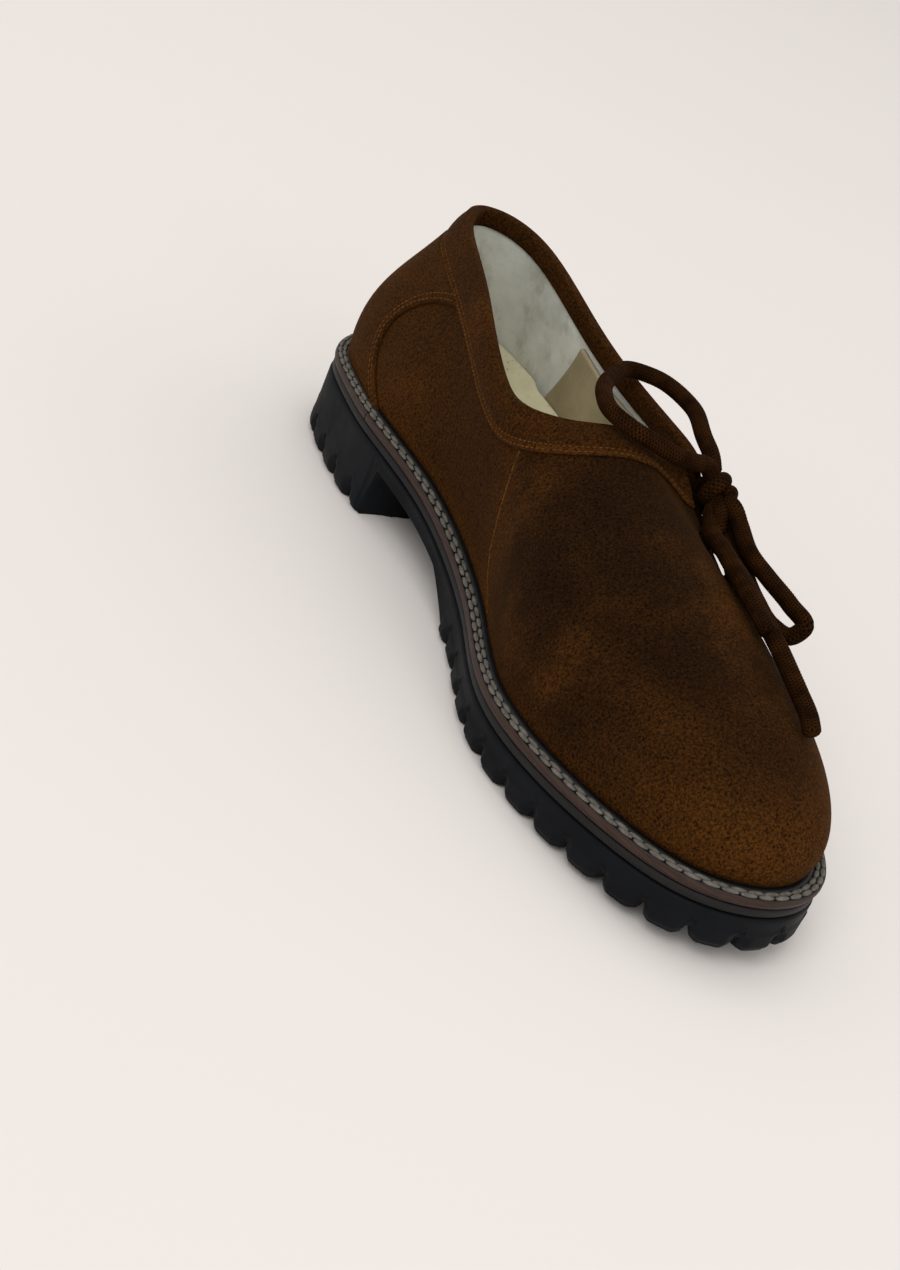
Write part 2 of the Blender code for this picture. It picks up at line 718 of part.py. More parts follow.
def hole_cutter(cutters):
    shape = bmesh.new()
    for share in HOLE_ROWS:
        for front in (True, False):
            point, normal = slit_frame(share, hole_side(share, front))
            turn = normal.to_track_quat("Z", "Y").to_matrix().to_4x4()
            bmesh.ops.create_cone(
                shape,
                cap_ends=True,
                segments=12,
                radius1=HOLE_DIAMETER / 2,
                radius2=HOLE_DIAMETER / 2,
                depth=4 * UPPER_WALL,
                matrix=Matrix.Translation(point - normal * UPPER_WALL / 2) @ turn,
            )
    mesh = bpy.data.meshes.new("hole_cutter")
    shape.to_mesh(mesh)
    shape.free()
    made = bpy.data.objects.new("hole_cutter", mesh)
    cutters.objects.link(made)
    return made


def make_counter(target, finish):
    """The heel counter: a second layer round the heel, whose wings run forward under the collar band."""
    table = np.array(COUNTER_EDGE)
    rows, columns = 10, 21
    points = []
    for way in np.linspace(0.0, 1.0, rows):
        inner = key_at(np.interp(way, table[:, 0], table[:, 1]) * LENGTH, False)
        outer = key_at(np.interp(way, table[:, 0], table[:, 2]) * LENGTH, True) - 1.0
        keys = np.linspace(outer, inner, columns)
        shares = way * share_below_rim(keys, BAND_WIDTH + OVERLAY_GAP)
        points.append(off_wall(keys, shares, OVERLAY_GAP))
    return sheet("heel_counter", np.array(points), False, COUNTER_THICK, 1, target, finish)


def band_keys():
    """The collar band's stations, from the slit's front edge round the opening to its rear edge."""
    half = SLIT_TOP / 2 + GAP
    along_wall = wall(SLIT_KEY + 1e-3, 0.95) - wall(SLIT_KEY - 1e-3, 0.95)
    edge = half / (np.linalg.norm(along_wall) / 2e-3)
    start, end = SLIT_KEY + edge, SLIT_KEY + 1.0 - edge
    turned = np.sort(np.mod(STATIONS - SLIT_KEY, 1.0)) + SLIT_KEY
    inside = turned[(turned > start + 0.004) & (turned < end - 0.004)]
    return np.concatenate([[start], inside, [end]])


def make_collar_band(target, finish):
    """A strip folded over the rim: down the outside, over the top and a little way down the lining."""
    keys = band_keys()
    lines = []
    for down in (BAND_WIDTH, BAND_WIDTH * 0.66, BAND_WIDTH * 0.33, 0.0012):
        lines.append(off_wall(keys, share_below_rim(keys, down), BAND_GAP))
    over = off_wall(keys, np.ones(len(keys)), 0.0)
    rise = over - off_wall(keys, share_below_rim(keys, 0.003), 0.0)
    rise = rise / np.linalg.norm(rise, axis=1)[:, None] * BAND_GAP * 1.5
    for depth in (-0.2, -0.8):
        lines.append(off_wall(keys, np.ones(len(keys)), depth * UPPER_WALL) + rise)
    for down in (0.0012, BAND_FOLD):
        lines.append(off_wall(keys, share_below_rim(keys, down), -UPPER_WALL - BAND_GAP))
    return sheet("collar_band", np.array(lines), False, BAND_THICK, 1, target, finish)


def make_tongue(target, finish):
    """The soft tongue behind the slit: close to the wall at its sewn edges, with room for the lace between."""
    rows, columns = 7, 15
    share = np.linspace(0, 1, columns)
    keys = key_at(TONGUE_FRONT * LENGTH, True) * (1 - share) + key_at(TONGUE_REAR * LENGTH, True) * share
    top = share_below_rim(keys, TONGUE_DROP)
    close = UPPER_WALL + SIDE_ROOM
    pocket = UPPER_WALL + LACE_BEND + LACE_DIAMETER / 2 + SIDE_ROOM
    from_slit = np.abs(keys - SLIT_KEY)
    room = 1 - smooth_step(0.036, 0.066, from_slit)
    points = []
    for way in np.linspace(0, 1, rows):
        deep = room * smooth_step(0.0, 0.2, way)
        distance = -(close + (pocket - close) * deep)
        points.append(off_wall(keys, TONGUE_FOOT + (top - TONGUE_FOOT) * way, distance))
    return sheet("tongue", np.array(points), False, TONGUE_THICK, -1, target, finish)


def smooth_route(route, spacing):
    """Points a spacing apart on the smooth open curve through a route's own points."""
    route = np.asarray(route, float)
    run = np.append(0, np.cumsum(np.linalg.norm(np.diff(route, axis=0), axis=1)))
    slope = np.gradient(route, run, axis=0)
    dense = np.linspace(0, run[-1], 40 * len(route))
    i = np.clip(np.searchsorted(run, dense, side="right") - 1, 0, len(route) - 2)
    width = (run[i + 1] - run[i])[:, None]
    t = (dense - run[i])[:, None] / width
    curve = (
        (2 * t**3 - 3 * t**2 + 1) * route[i]
        + (t**3 - 2 * t**2 + t) * width * slope[i]
        + (3 * t**2 - 2 * t**3) * route[i + 1]
        + (t**3 - t**2) * width * slope[i + 1]
    )
    length = np.append(0, np.cumsum(np.linalg.norm(np.diff(curve, axis=0), axis=1)))
    at = np.linspace(0, length[-1], max(3, round(length[-1] / spacing) + 1))
    return np.stack([np.interp(at, length, curve[:, axis]) for axis in range(3)], axis=1)


def cord(name, points, target, finish):
    """A round cord as a bevelled curve with closed ends."""
    curve = bpy.data.curves.new(name, "CURVE")
    curve.dimensions = "3D"
    curve.bevel_depth = LACE_DIAMETER / 2
    curve.bevel_resolution = LACE_SIDES
    curve.use_fill_caps = True
    line = curve.splines.new("POLY")
    line.points.add(len(points) - 1)
    for spot, point in zip(line.points, points):
        spot.co = (*point, 1.0)
    curve.materials.append(finish)
    made = bpy.data.objects.new(name, curve)
    target.objects.link(made)
    return made


def knot_route():
    """The knot's wrap, as a tight helix round the way that the bow's strands run."""
    axis = Vector(KNOT_AXIS).normalized()
    side = axis.cross(Vector((0, 0, 1))).normalized()
    other = axis.cross(side)
    steps = 18
    points = []
    for step in range(steps + 1):
        turn = KNOT_TURNS * (step / steps - 0.5)
        angle = 2 * math.pi * turn
        ring = side * math.cos(angle) + other * math.sin(angle)
        points.append(Vector(KNOT_CENTRE) + ring * KNOT_RADIUS + axis * (KNOT_PITCH * turn))
    return points


def make_lace_bars(target, finish):
    """The laced part of the cord: in at the top rear hole, down through both rows below, out at the top front."""
    top, middle, low = HOLE_ROWS
    way = [
        (top, False, False),
        (middle, False, True),
        (middle, True, False),
        (low, True, True),
        (low, False, False),
        (top, True, True),
    ]
    places = [slit_frame(row, hole_side(row, front)) for row, front, _ in way]
    points = []
    for i, (hole, normal) in enumerate(places):
        outwards = way[i][2]
        before = places[i - 1][0] if i > 0 else None
        after = places[i + 1][0] if i + 1 < len(places) else None
        arcs = [lace_bend(hole, normal, before, not outwards), lace_bend(hole, normal, after, outwards)]
        points += list(reversed(arcs[0])) + arcs[1]
    return cord("lace_bars", points, target, finish)


def lace_bend(hole, normal, towards, outside):
    """Points of the lace's turn from a hole's middle to its run along the wall, or straight out of the hole."""
    out = normal if outside else -normal
    start = hole if outside else hole - normal * UPPER_WALL
    if towards is None:
        return [start, start + out * LACE_STUB]
    flat = towards - hole
    flat = (flat - normal * flat.dot(normal)).normalized()
    bend = []
    for step in range(4):
        angle = math.pi / 2 * step / 3
        aside = flat * (LACE_BEND * (1 - math.cos(angle)))
        bend.append(start + out * (LACE_BEND * math.sin(angle)) + aside)
    return bend


def main():
    remove_old_objects()
    shoe = collection("side_laced_shoe")
    cutters = collection("cutters", helper=True)
    rubber = material("black rubber", (0.012, 0.014, 0.017), 0.62)
    leather = material("brown sole leather", (0.060, 0.034, 0.020), 0.60)
    welting = material("black welt leather", (0.014, 0.015, 0.017), 0.50)
    suede = material("dark brown suede", (0.070, 0.028, 0.008), 0.95)
    footbed = material("cream footbed leather", (0.55, 0.52, 0.38), 0.70)
    lining = material("beige tongue leather", (0.42, 0.38, 0.26), 0.75)
    braid = material("dark brown lace", (0.045, 0.020, 0.009), 0.85)
    make_outsole(shoe, cutters, rubber)
    make_midsole(shoe, leather)
    joint_inner = float(key_at(WELT_JOINT * LENGTH, False))
    joint_outer = float(key_at(WELT_JOINT * LENGTH, True))
    half_joint = GAP / 2 / CHORDS.sum()
    make_welt("welt_forepart", joint_inner + half_joint, joint_outer - half_joint, shoe, welting)
    make_welt("welt_heel", joint_outer + half_joint - 1.0, joint_inner - half_joint, shoe, welting)
    make_insole(shoe, footbed)
    make_upper(shoe, cutters, suede)
    make_counter(shoe, suede)
    make_collar_band(shoe, suede)
    make_tongue(shoe, lining)
    make_lace_bars(shoe, braid)
    cord("lace_knot", knot_route(), shoe, braid)
    for name, route in LACE_ROUTES.items():
        cord(name, smooth_route(route, CORD_SPACING * LACE_DIAMETER), shoe, braid)


main()
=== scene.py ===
# %% [markdown]
# # A side-laced half shoe in brown suede
# This lesson dresses one left shoe, built piece by piece the way a shoemaker builds it: rubber sole, leather
# midsole, welt, upper, heel counter, collar band, tongue and lace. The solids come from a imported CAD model, and
# every piece made here replaces one of them with a finer one in the same place.
# All lengths are in metres. The toe points to -Y, the heel to +Y, and +X is the outer side of the foot.

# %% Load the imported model
import math

import bmesh
import bpy
import numpy as np
from mathutils import Matrix, Vector


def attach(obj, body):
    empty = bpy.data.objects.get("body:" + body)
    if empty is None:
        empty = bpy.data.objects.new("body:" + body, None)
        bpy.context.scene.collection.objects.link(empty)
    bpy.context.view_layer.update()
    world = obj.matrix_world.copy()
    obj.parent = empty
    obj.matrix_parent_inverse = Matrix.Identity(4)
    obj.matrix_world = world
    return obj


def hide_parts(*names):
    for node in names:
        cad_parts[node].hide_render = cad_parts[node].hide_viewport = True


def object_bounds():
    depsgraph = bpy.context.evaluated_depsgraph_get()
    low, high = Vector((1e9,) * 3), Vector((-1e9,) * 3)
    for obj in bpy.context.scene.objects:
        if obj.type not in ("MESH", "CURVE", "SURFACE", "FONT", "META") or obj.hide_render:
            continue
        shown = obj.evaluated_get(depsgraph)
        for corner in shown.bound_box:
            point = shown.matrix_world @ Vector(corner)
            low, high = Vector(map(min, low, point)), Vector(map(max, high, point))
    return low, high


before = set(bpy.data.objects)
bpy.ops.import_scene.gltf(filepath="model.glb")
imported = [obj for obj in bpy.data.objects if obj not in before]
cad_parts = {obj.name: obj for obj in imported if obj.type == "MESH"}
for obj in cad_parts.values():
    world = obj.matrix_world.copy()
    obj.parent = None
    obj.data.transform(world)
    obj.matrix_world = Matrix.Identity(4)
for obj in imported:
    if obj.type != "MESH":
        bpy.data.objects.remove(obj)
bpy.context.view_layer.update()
scene = bpy.context.scene
print("CAD nodes:", sorted(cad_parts))

# %% [markdown]
# ## The camera
# The photograph looks down on the shoe's inner side from in front of the toe, and it is rolled, because the shoe was
# propped up when it was taken. Here the shoe stands flat and the camera rolls instead. The place and the turn were
# found by matching the sole, the welt and the collar with their outlines in the photograph.

# %% Camera
FOCAL_PIXELS = 1943.7
FRAME_PIXELS = 1270
camera = bpy.data.objects.new("camera", bpy.data.cameras.new("camera"))
scene.collection.objects.link(camera)
turn = Vector((0.92272, -0.55321, -0.20952))
camera.matrix_world = Matrix.Translation((-0.36817, -0.44075, 0.30229)) @ Matrix.Rotation(
    turn.length, 4, turn.normalized()
)
camera.data.sensor_width = 36.0
camera.data.lens = 36.0 * FOCAL_PIXELS / FRAME_PIXELS
scene.camera = camera
scene.view_settings.view_transform = "Standard"
print("lens", round(camera.data.lens, 1), "mm")

# %% [markdown]
# ## The shoe's own shape
# A last has no flat faces, so a shoe is easiest to describe by curves. One closed curve is the sole's outline.
# From each place on it, which we name by a key from 0 to 1, a meridian climbs the wall to the collar's rim.
# The tables are those of the CAD source, apart from the collar's rim, which is drawn in here by a few millimetres
# at the back and beside the slit, because the rim in the photograph is narrower there.

# %% Sizes and tables of the last
LENGTH = 0.306
BALL_WIDTH = 0.104
SEAT_HEIGHT = 0.0325
BALL_HEIGHT = 0.0200
TOE_SPRING = 0.006
COLLAR_HEIGHT = 0.064
UPPER_WALL = 0.0022
WELT_REACH = 0.0055
WELT_THICK = 0.0036
MIDSOLE_THICK = 0.0032
INSOLE_THICK = 0.0060
INSOLE_HEEL = 0.0200
BAND_WIDTH = 0.0130
GAP = 0.0003

OUTLINE = [
    # along, across: shares of the length and of the ball width, from the heel round the inner side
    (0.000, 0.000), (0.047, -0.228), (0.132, -0.305), (0.230, -0.328), (0.344, -0.288), (0.440, -0.288),
    (0.549, -0.350), (0.670, -0.465), (0.782, -0.462), (0.890, -0.386), (0.971, -0.255), (1.000, -0.050),
    (0.977, 0.155), (0.905, 0.315), (0.800, 0.440), (0.686, 0.500), (0.569, 0.470), (0.451, 0.400),
    (0.343, 0.350), (0.225, 0.335), (0.127, 0.320), (0.045, 0.220),
]
MERIDIANS = [
    # outline point, then the rim's along, across and height, and the curve's rise, flare, reach and drop
    (0, 0.076, 0.062, 1.015, 0.45, 0.05, 0.25, 0.40),
    (1, 0.110, -0.045, 1.015, 0.45, 0.06, 0.45, 0.40),
    (2, 0.160, -0.112, 0.995, 0.45, 0.06, 0.55, 0.40),
    (3, 0.246, -0.185, 0.945, 0.45, 0.06, 0.30, 0.40),
    (4, 0.337, -0.250, 0.836, 0.45, 0.06, 0.00, 0.40),
    (5, 0.412, -0.279, 0.727, 0.50, 0.08, 0.10, 0.40),
    (6, 0.458, -0.260, 0.727, 0.50, 0.08, 0.30, 0.30),
    (7, 0.487, -0.173, 0.758, 0.45, 0.06, 0.45, 0.30),
    (8, 0.500, -0.087, 0.789, 0.42, 0.05, 0.45, 0.28),
    (9, 0.507, -0.029, 0.805, 0.42, 0.09, 0.45, 0.28),
    (11, 0.513, 0.029, 0.805, 0.50, 0.18, 0.34, 0.28),
    (13, 0.519, 0.072, 0.792, 0.49, 0.23, 0.23, 0.30),
    (14, 0.531, 0.122, 0.760, 0.42, 0.13, 0.21, 0.32),
    (15, 0.542, 0.192, 0.722, 0.42, 0.09, 0.21, 0.32),
    (16, 0.516, 0.288, 0.727, 0.50, 0.06, 0.25, 0.30),
    (17, 0.451, 0.308, 0.742, 0.50, 0.05, 0.10, 0.40),
    (18, 0.366, 0.308, 0.758, 0.45, 0.05, 0.00, 0.40),
    (19, 0.268, 0.272, 0.852, 0.45, 0.05, -0.05, 0.40),
    (20, 0.163, 0.234, 0.980, 0.45, 0.05, -0.05, 0.40),
    (21, 0.100, 0.160, 1.024, 0.45, 0.05, -0.05, 0.40),
]


# %% Curves that run through a table
def closed_spline(rows, keys, at):
    """Points at the keys `at` of the smooth closed curve through the rows. One turn of the keys is 1."""
    rows, keys = np.asarray(rows, float), np.asarray(keys, float)
    step = np.diff(np.append(keys, keys[0] + 1.0))
    slope = (np.roll(rows, -1, axis=0) - rows) / step[:, None]
    beside = step[:, None] * np.roll(np.eye(len(keys)), 1, axis=1)
    system = np.diag(2 * (step + np.roll(step, 1))) + beside + beside.T
    bend = np.linalg.solve(system, 6 * (slope - np.roll(slope, 1, axis=0)))
    turned = np.mod(np.asarray(at, float) - keys[0], 1.0) + keys[0]
    i = np.searchsorted(keys, turned, side="right") - 1
    after, run, width = (i + 1) % len(keys), (turned - keys[i])[:, None], step[i][:, None]
    left = width - run
    return (
        (bend[i] * left**3 + bend[after] * run**3) / (6 * width)
        + (rows[i] / width - bend[i] * width / 6) * left
        + (rows[after] / width - bend[after] * width / 6) * run
    )


def open_curve(points, run, at):
    """Points at the lengths `at` of the smooth open curve through points that lie at the lengths `run`."""
    slope = np.gradient(points, run, axis=0)
    i = np.clip(np.searchsorted(run, at, side="right") - 1, 0, len(run) - 2)
    width = (run[i + 1] - run[i])[:, None]
    t = (at - run[i])[:, None] / width
    return (
        (2 * t**3 - 3 * t**2 + 1) * points[i] + (t**3 - 2 * t**2 + t) * width * slope[i]
        + (3 * t**2 - 2 * t**3) * points[i + 1] + (t**3 - t**2) * width * slope[i + 1]
    )


def smooth_step(start, end, x):
    t = np.clip((x - start) / (end - start), 0, 1)
    return t * t * (3 - 2 * t)


def table_row(table, v):
    """The rows of a table that the shares v from 0 to 1 stand for, as one array for each column."""
    return np.array(table)[np.round(v * (len(table) - 1)).astype(int)].T


OUTLINE_POINTS = np.array(OUTLINE) * (LENGTH, BALL_WIDTH)
CHORDS = np.linalg.norm(np.roll(OUTLINE_POINTS, -1, axis=0) - OUTLINE_POINTS, axis=1)
OUTLINE_KEYS = (np.cumsum(CHORDS) - CHORDS) / CHORDS.sum()
DENSE = np.linspace(0, 1, 4001)
DENSE_POINTS = closed_spline(OUTLINE_POINTS, OUTLINE_KEYS, DENSE)
TOE_INDEX = int(np.argmax(DENSE_POINTS[:, 0]))
HEEL_ALONG, TOE_ALONG = DENSE_POINTS[:, 0].min(), DENSE_POINTS[:, 0].max()
MIDDLE_ALONG = (HEEL_ALONG + TOE_ALONG) / 2
MIDDLE_ACROSS = (DENSE_POINTS[:, 1].min() + DENSE_POINTS[:, 1].max()) / 2


def run_of(line):
    """The length run along a line up to each of its points."""
    return np.append(0, np.cumsum(np.linalg.norm(np.diff(line, axis=0), axis=1)))


RUN = run_of(DENSE_POINTS)
print("outline", round(RUN[-1] * 1000), "mm round")

# %% Where things lie on the outline
def key_at(along, outer):
    """The key at a length along the shoe, on its outer or its inner side."""
    if outer:
        return np.interp(along, DENSE_POINTS[TOE_INDEX:, 0][::-1], DENSE[TOE_INDEX:][::-1])
    return np.interp(along, DENSE_POINTS[: TOE_INDEX + 1, 0], DENSE[: TOE_INDEX + 1])


def outline(keys, inset):
    """Points (along, across) of the outline moved in by the inset, and the outward normals there."""
    keys = np.atleast_1d(keys)
    tangent = closed_spline(OUTLINE_POINTS, OUTLINE_KEYS, keys + 1e-4)
    tangent = tangent - closed_spline(OUTLINE_POINTS, OUTLINE_KEYS, keys - 1e-4)
    outward = np.stack([tangent[:, 1], -tangent[:, 0]], axis=1)
    outward = outward / np.linalg.norm(outward, axis=1)[:, None]
    return closed_spline(OUTLINE_POINTS, OUTLINE_KEYS, keys) - outward * np.reshape(inset, (-1, 1)), outward


def place(along, across, height):
    """World points from lengths along and across the sole and heights above the floor."""
    along, across, height = np.broadcast_arrays(along, across, height)
    return np.stack([across - MIDDLE_ACROSS, MIDDLE_ALONG - along, height], axis=-1)


def spring(along):
    return TOE_SPRING * np.clip((along / LENGTH - 0.706) / 0.294, 0, 1) ** 1.8


def welt_height(along):
    return SEAT_HEIGHT + (BALL_HEIGHT - SEAT_HEIGHT) * smooth_step(0.216, 0.608, along / LENGTH) + spring(along)


def midsole_top(along):
    return welt_height(along) - WELT_THICK - GAP


def sole_top(along):
    return midsole_top(along) - MIDSOLE_THICK - GAP


# %% The upper's outer face
MERIDIAN_KEYS = [OUTLINE_KEYS[row[0]] for row in MERIDIANS]
MERIDIAN_ROWS = np.array([row[1:] for row in MERIDIANS]) * (LENGTH, BALL_WIDTH, COLLAR_HEIGHT, 1, 1, 1, 1)


def wall(keys, shares):
    """Points of the upper's outer face, at keys round the shoe and at shares of the way up to the rim."""
    keys, shares = np.broadcast_arrays(np.asarray(keys, float), np.asarray(shares, float))
    flat, v = keys.ravel(), shares.ravel()[:, None]
    foot, outward = outline(flat, WELT_REACH)
    foot_height = welt_height(foot[:, 0]) + GAP
    row = closed_spline(MERIDIAN_ROWS, MERIDIAN_KEYS, flat)
    rim, rim_height = row[:, :2], SEAT_HEIGHT + row[:, 2]
    rise, flare, reach, drop = row[:, 3:].T
    tall = rim_height - foot_height
    low = np.column_stack([foot + outward * (flare * tall)[:, None], foot_height + rise * tall])
    high = np.column_stack([rim - (rim - foot) * reach[:, None], rim_height - drop * tall])
    foot, rim = np.column_stack([foot, foot_height]), np.column_stack([rim, rim_height])
    curve = (1 - v) ** 3 * foot + 3 * v * (1 - v) ** 2 * low + 3 * v * v * (1 - v) * high + v**3 * rim
    return place(curve[:, 0], curve[:, 1], curve[:, 2]).reshape(*keys.shape, 3)


def wall_normal(keys, shares):
    shares = np.clip(shares, 1e-3, 1 - 1e-3)
    round_it = wall(keys + 1e-3, shares) - wall(keys - 1e-3, shares)
    normal = np.cross(round_it, wall(keys, shares + 1e-3) - wall(keys, shares - 1e-3))
    return normal / np.linalg.norm(normal, axis=-1)[..., None]


def off_wall(keys, shares, distance):
    keys, shares, distance = np.broadcast_arrays(keys, shares, distance)
    return wall(keys, shares) + wall_normal(keys, shares) * distance[..., None]


def share_below_rim(keys, down):
    """The share up the wall of the place a length below the rim, for matching arrays of keys and lengths."""
    keys, down = np.broadcast_arrays(np.asarray(keys, float), np.asarray(down, float))
    known = np.linspace(0, 1, 241)[:-1]
    shares = np.linspace(0, 1, 121)
    lines = wall(known[:, None], shares[None, :])
    run = np.cumsum(np.linalg.norm(np.diff(lines, axis=1), axis=2)[:, ::-1], axis=1)
    run = np.concatenate([np.zeros((len(known), 1)), run], axis=1)
    turned = np.mod(keys.ravel(), 1.0) * len(known)
    low = turned.astype(int) % len(known)
    part = turned - np.floor(turned)
    found = []
    for i, t, length in zip(low, part, down.ravel()):
        first = np.interp(length, run[i], shares[::-1])
        second = np.interp(length, run[(i + 1) % len(known)], shares[::-1])
        found.append(first * (1 - t) + second * t)
    return np.array(found).reshape(keys.shape)


# %% [markdown]
# ## A cloth to lay over a form
# Nearly every piece of a shoe is a strip or a sheet that bends. So the one helper that all pieces share starts
# from Blender's own grid operator, a flat cloth of quads, and moves each of its points onto the form. Where the
# strip meets its own start the doubles are merged, which closes it.

# %% Helper: a grid laid over a form
def new_mesh(name, shape, smooth=True):
    """A mesh from a bmesh, which is freed."""
    mesh = bpy.data.meshes.new(name)
    shape.to_mesh(mesh)
    shape.free()
    if smooth:
        mesh.shade_smooth()
    return mesh


def new_object(name, mesh):
    made = bpy.data.objects.new(name, mesh)
    scene.collection.objects.link(made)
    return made


def laid_grid(name, across, up, form, merge=2e-6, **marks):
    """A mesh from a grid of `across` by `up` quads. form(u, v) gives its points, for u and v from 0 to 1.
    Each mark is a function of (u, v) too, whose value is kept as an attribute of the points."""
    cloth = bmesh.new()
    uv = cloth.loops.layers.uv.new("cloth")
    bmesh.ops.create_grid(cloth, x_segments=across, y_segments=up, size=0.5)
    flat = np.array([vert.co[:2] for vert in cloth.verts]) + 0.5
    for face in cloth.faces:
        for loop in face.loops:
            loop[uv].uv = loop.vert.co[:2]
    for vert, point in zip(cloth.verts, form(flat[:, 0], flat[:, 1])):
        vert.co = point
    for mark, function in marks.items():
        layer = cloth.verts.layers.float.new(mark)
        for vert, value in zip(cloth.verts, function(flat[:, 0], flat[:, 1])):
            vert[layer] = value
    bmesh.ops.remove_doubles(cloth, verts=cloth.verts, dist=merge)
    return new_mesh(name, cloth)


def outwards(mesh):
    """Turns a closed mesh's faces outwards."""
    shell = bmesh.new()
    shell.from_mesh(mesh)
    bmesh.ops.recalc_face_normals(shell, faces=shell.faces)
    shell.to_mesh(mesh)
    shell.free()
    return mesh


def finish_piece(name, mesh, finishes, slot, *stands_for):
    """Links a mesh as a piece of the shoe, with its finishes, and hides the CAD nodes that it stands for."""
    made = new_object(name, mesh)
    for finish in finishes:
        mesh.materials.append(finish.material)
    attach(made, "root")
    if stands_for:
        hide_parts(*stands_for)
    print(f"{name}: {len(mesh.polygons)} faces")
    return made


def add_solid(made, thickness, offset, inner=0):
    modifier = made.modifiers.new("wall", "SOLIDIFY")
    modifier.thickness, modifier.offset = thickness, offset
    modifier.material_offset = inner
    modifier.material_offset_rim = 0


# %% [markdown]
# ## Finishes
# Each finish is a Principled shader fed by noise on Object coordinates, so it has its true size on every piece.
# Suede is a nap of short fibres: it has no gloss, its colour drifts in patches where the fibres lie over, and its
# edge catches light, which the sheen lobe gives. A painted highlight, mixed with worn nap, also lightens its colour at
# the toe, the heel and the edges.

# %% Helper: shader nodes
class Finish:
    """A Principled material and a short way to wire noise into it."""

    def __init__(self, name, **sockets):
        self.material = bpy.data.materials.new(name)
        self.material.use_nodes = True
        self.tree = self.material.node_tree
        self.shader = self.tree.nodes["Principled BSDF"]
        for socket, value in sockets.items():
            self.shader.inputs[socket.replace("_", " ")].default_value = value
        self.where = self.node("ShaderNodeTexCoord").outputs["Object"]
        self.relief = None

    def node(self, kind, **settings):
        made = self.tree.nodes.new(kind)
        for name, value in settings.items():
            setattr(made, name, value)
        return made

    def wire(self, source, target):
        self.tree.links.new(source, target)

    def noise(self, size, detail=3.0, rough=0.55, stretch=None):
        """Noise whose blobs are about `size` metres wide, as a value from 0 to 1."""
        made = self.node("ShaderNodeTexNoise")
        where = self.where
        if stretch is not None:
            mapping = self.node("ShaderNodeMapping")
            mapping.inputs["Scale"].default_value = stretch
            self.wire(where, mapping.inputs["Vector"])
            where = mapping.outputs["Vector"]
        self.wire(where, made.inputs["Vector"])
        for socket, value in (("Scale", 1.0 / size), ("Detail", detail), ("Roughness", rough)):
            made.inputs[socket].default_value = value
        return made.outputs["Fac"]

    def ramp(self, value, *stops):
        made = self.node("ShaderNodeValToRGB")
        self.wire(value, made.inputs["Fac"])
        elements = made.color_ramp.elements
        while len(elements) < len(stops):
            elements.new(0.5)
        for element, (position, colour) in zip(elements, stops):
            element.position = position
            element.color = (*colour, 1.0) if hasattr(colour, "__len__") else (colour, colour, colour, 1.0)
        return made.outputs["Color"]

    def clouds(self, size, detail, *stops):
        """Soft noise through a ramp of colours."""
        return self.ramp(self.noise(size, detail), *stops)

    def mix(self, factor, first, second, blend="MIX"):
        made = self.node("ShaderNodeMix", data_type="RGBA", blend_type=blend)
        for socket, value in zip((made.inputs[0], made.inputs[6], made.inputs[7]), (factor, first, second)):
            if isinstance(value, bpy.types.NodeSocket):
                self.wire(value, socket)
            else:
                socket.default_value = (*value, 1.0) if hasattr(value, "__len__") else value
        return made.outputs[2]

    def attribute(self, name):
        return self.node("ShaderNodeAttribute", attribute_name=name).outputs["Fac"]

    def colour(self, source):
        self.wire(source, self.shader.inputs["Base Color"])

    def bump(self, value, depth):
        """Adds relief of `depth` metres, on top of the relief that is there."""
        made = self.node("ShaderNodeBump")
        made.inputs["Strength"].default_value = 1.0
        made.inputs["Distance"].default_value = depth
        self.wire(value, made.inputs["Height"])
        if self.relief is not None:
            self.wire(self.relief, made.inputs["Normal"])
        self.relief = made.outputs["Normal"]
        self.wire(self.relief, self.shader.inputs["Normal"])

# %% Suede, lining and footbed
SUEDE = Finish(
    "dark brown suede", Roughness=0.95, Sheen_Weight=0.05, Sheen_Roughness=0.4,
    Sheen_Tint=(0.80, 0.36, 0.08, 1.0), Specular_IOR_Level=0.05,
)
DARK_NAP, NAP, LIGHT_NAP = (0.0082, 0.0031, 0.0008), (0.0150, 0.0056, 0.0012), (0.046, 0.0165, 0.0026)
patches = SUEDE.clouds(0.045, 4.0, (0.32, DARK_NAP), (0.52, NAP), (0.74, LIGHT_NAP))
# Lighter nap where the point mark is high: partly worn nap, partly a painted highlight at the toe, the heel and the
# edges.
worn_and_highlit_nap = SUEDE.mix(SUEDE.attribute("brushed"), patches, LIGHT_NAP)
grain = SUEDE.ramp(SUEDE.noise(0.0008, 3.0, 0.75), (0.34, 0.15), (0.68, 2.20))
SUEDE.colour(SUEDE.mix(1.0, worn_and_highlit_nap, grain, "MULTIPLY"))
SUEDE.bump(SUEDE.noise(0.012), 0.0006)
SUEDE.bump(SUEDE.noise(0.0006, 3.0, 0.7), 0.00022)

LINING = Finish("white lining leather", Roughness=0.55, Specular_IOR_Level=0.35)
cloud = LINING.clouds(0.03, 4.0, (0.3, (0.46, 0.48, 0.44)), (0.6, (0.70, 0.72, 0.67)))
rubbed = LINING.ramp(LINING.noise(0.012, 5.0, 0.65), (0.52, 0.0), (0.72, 0.60))
LINING.colour(LINING.mix(rubbed, cloud, (0.32, 0.27, 0.22)))
LINING.bump(LINING.noise(0.02), 0.0012)
LINING.bump(LINING.noise(0.0008, 2.0), 0.00012)

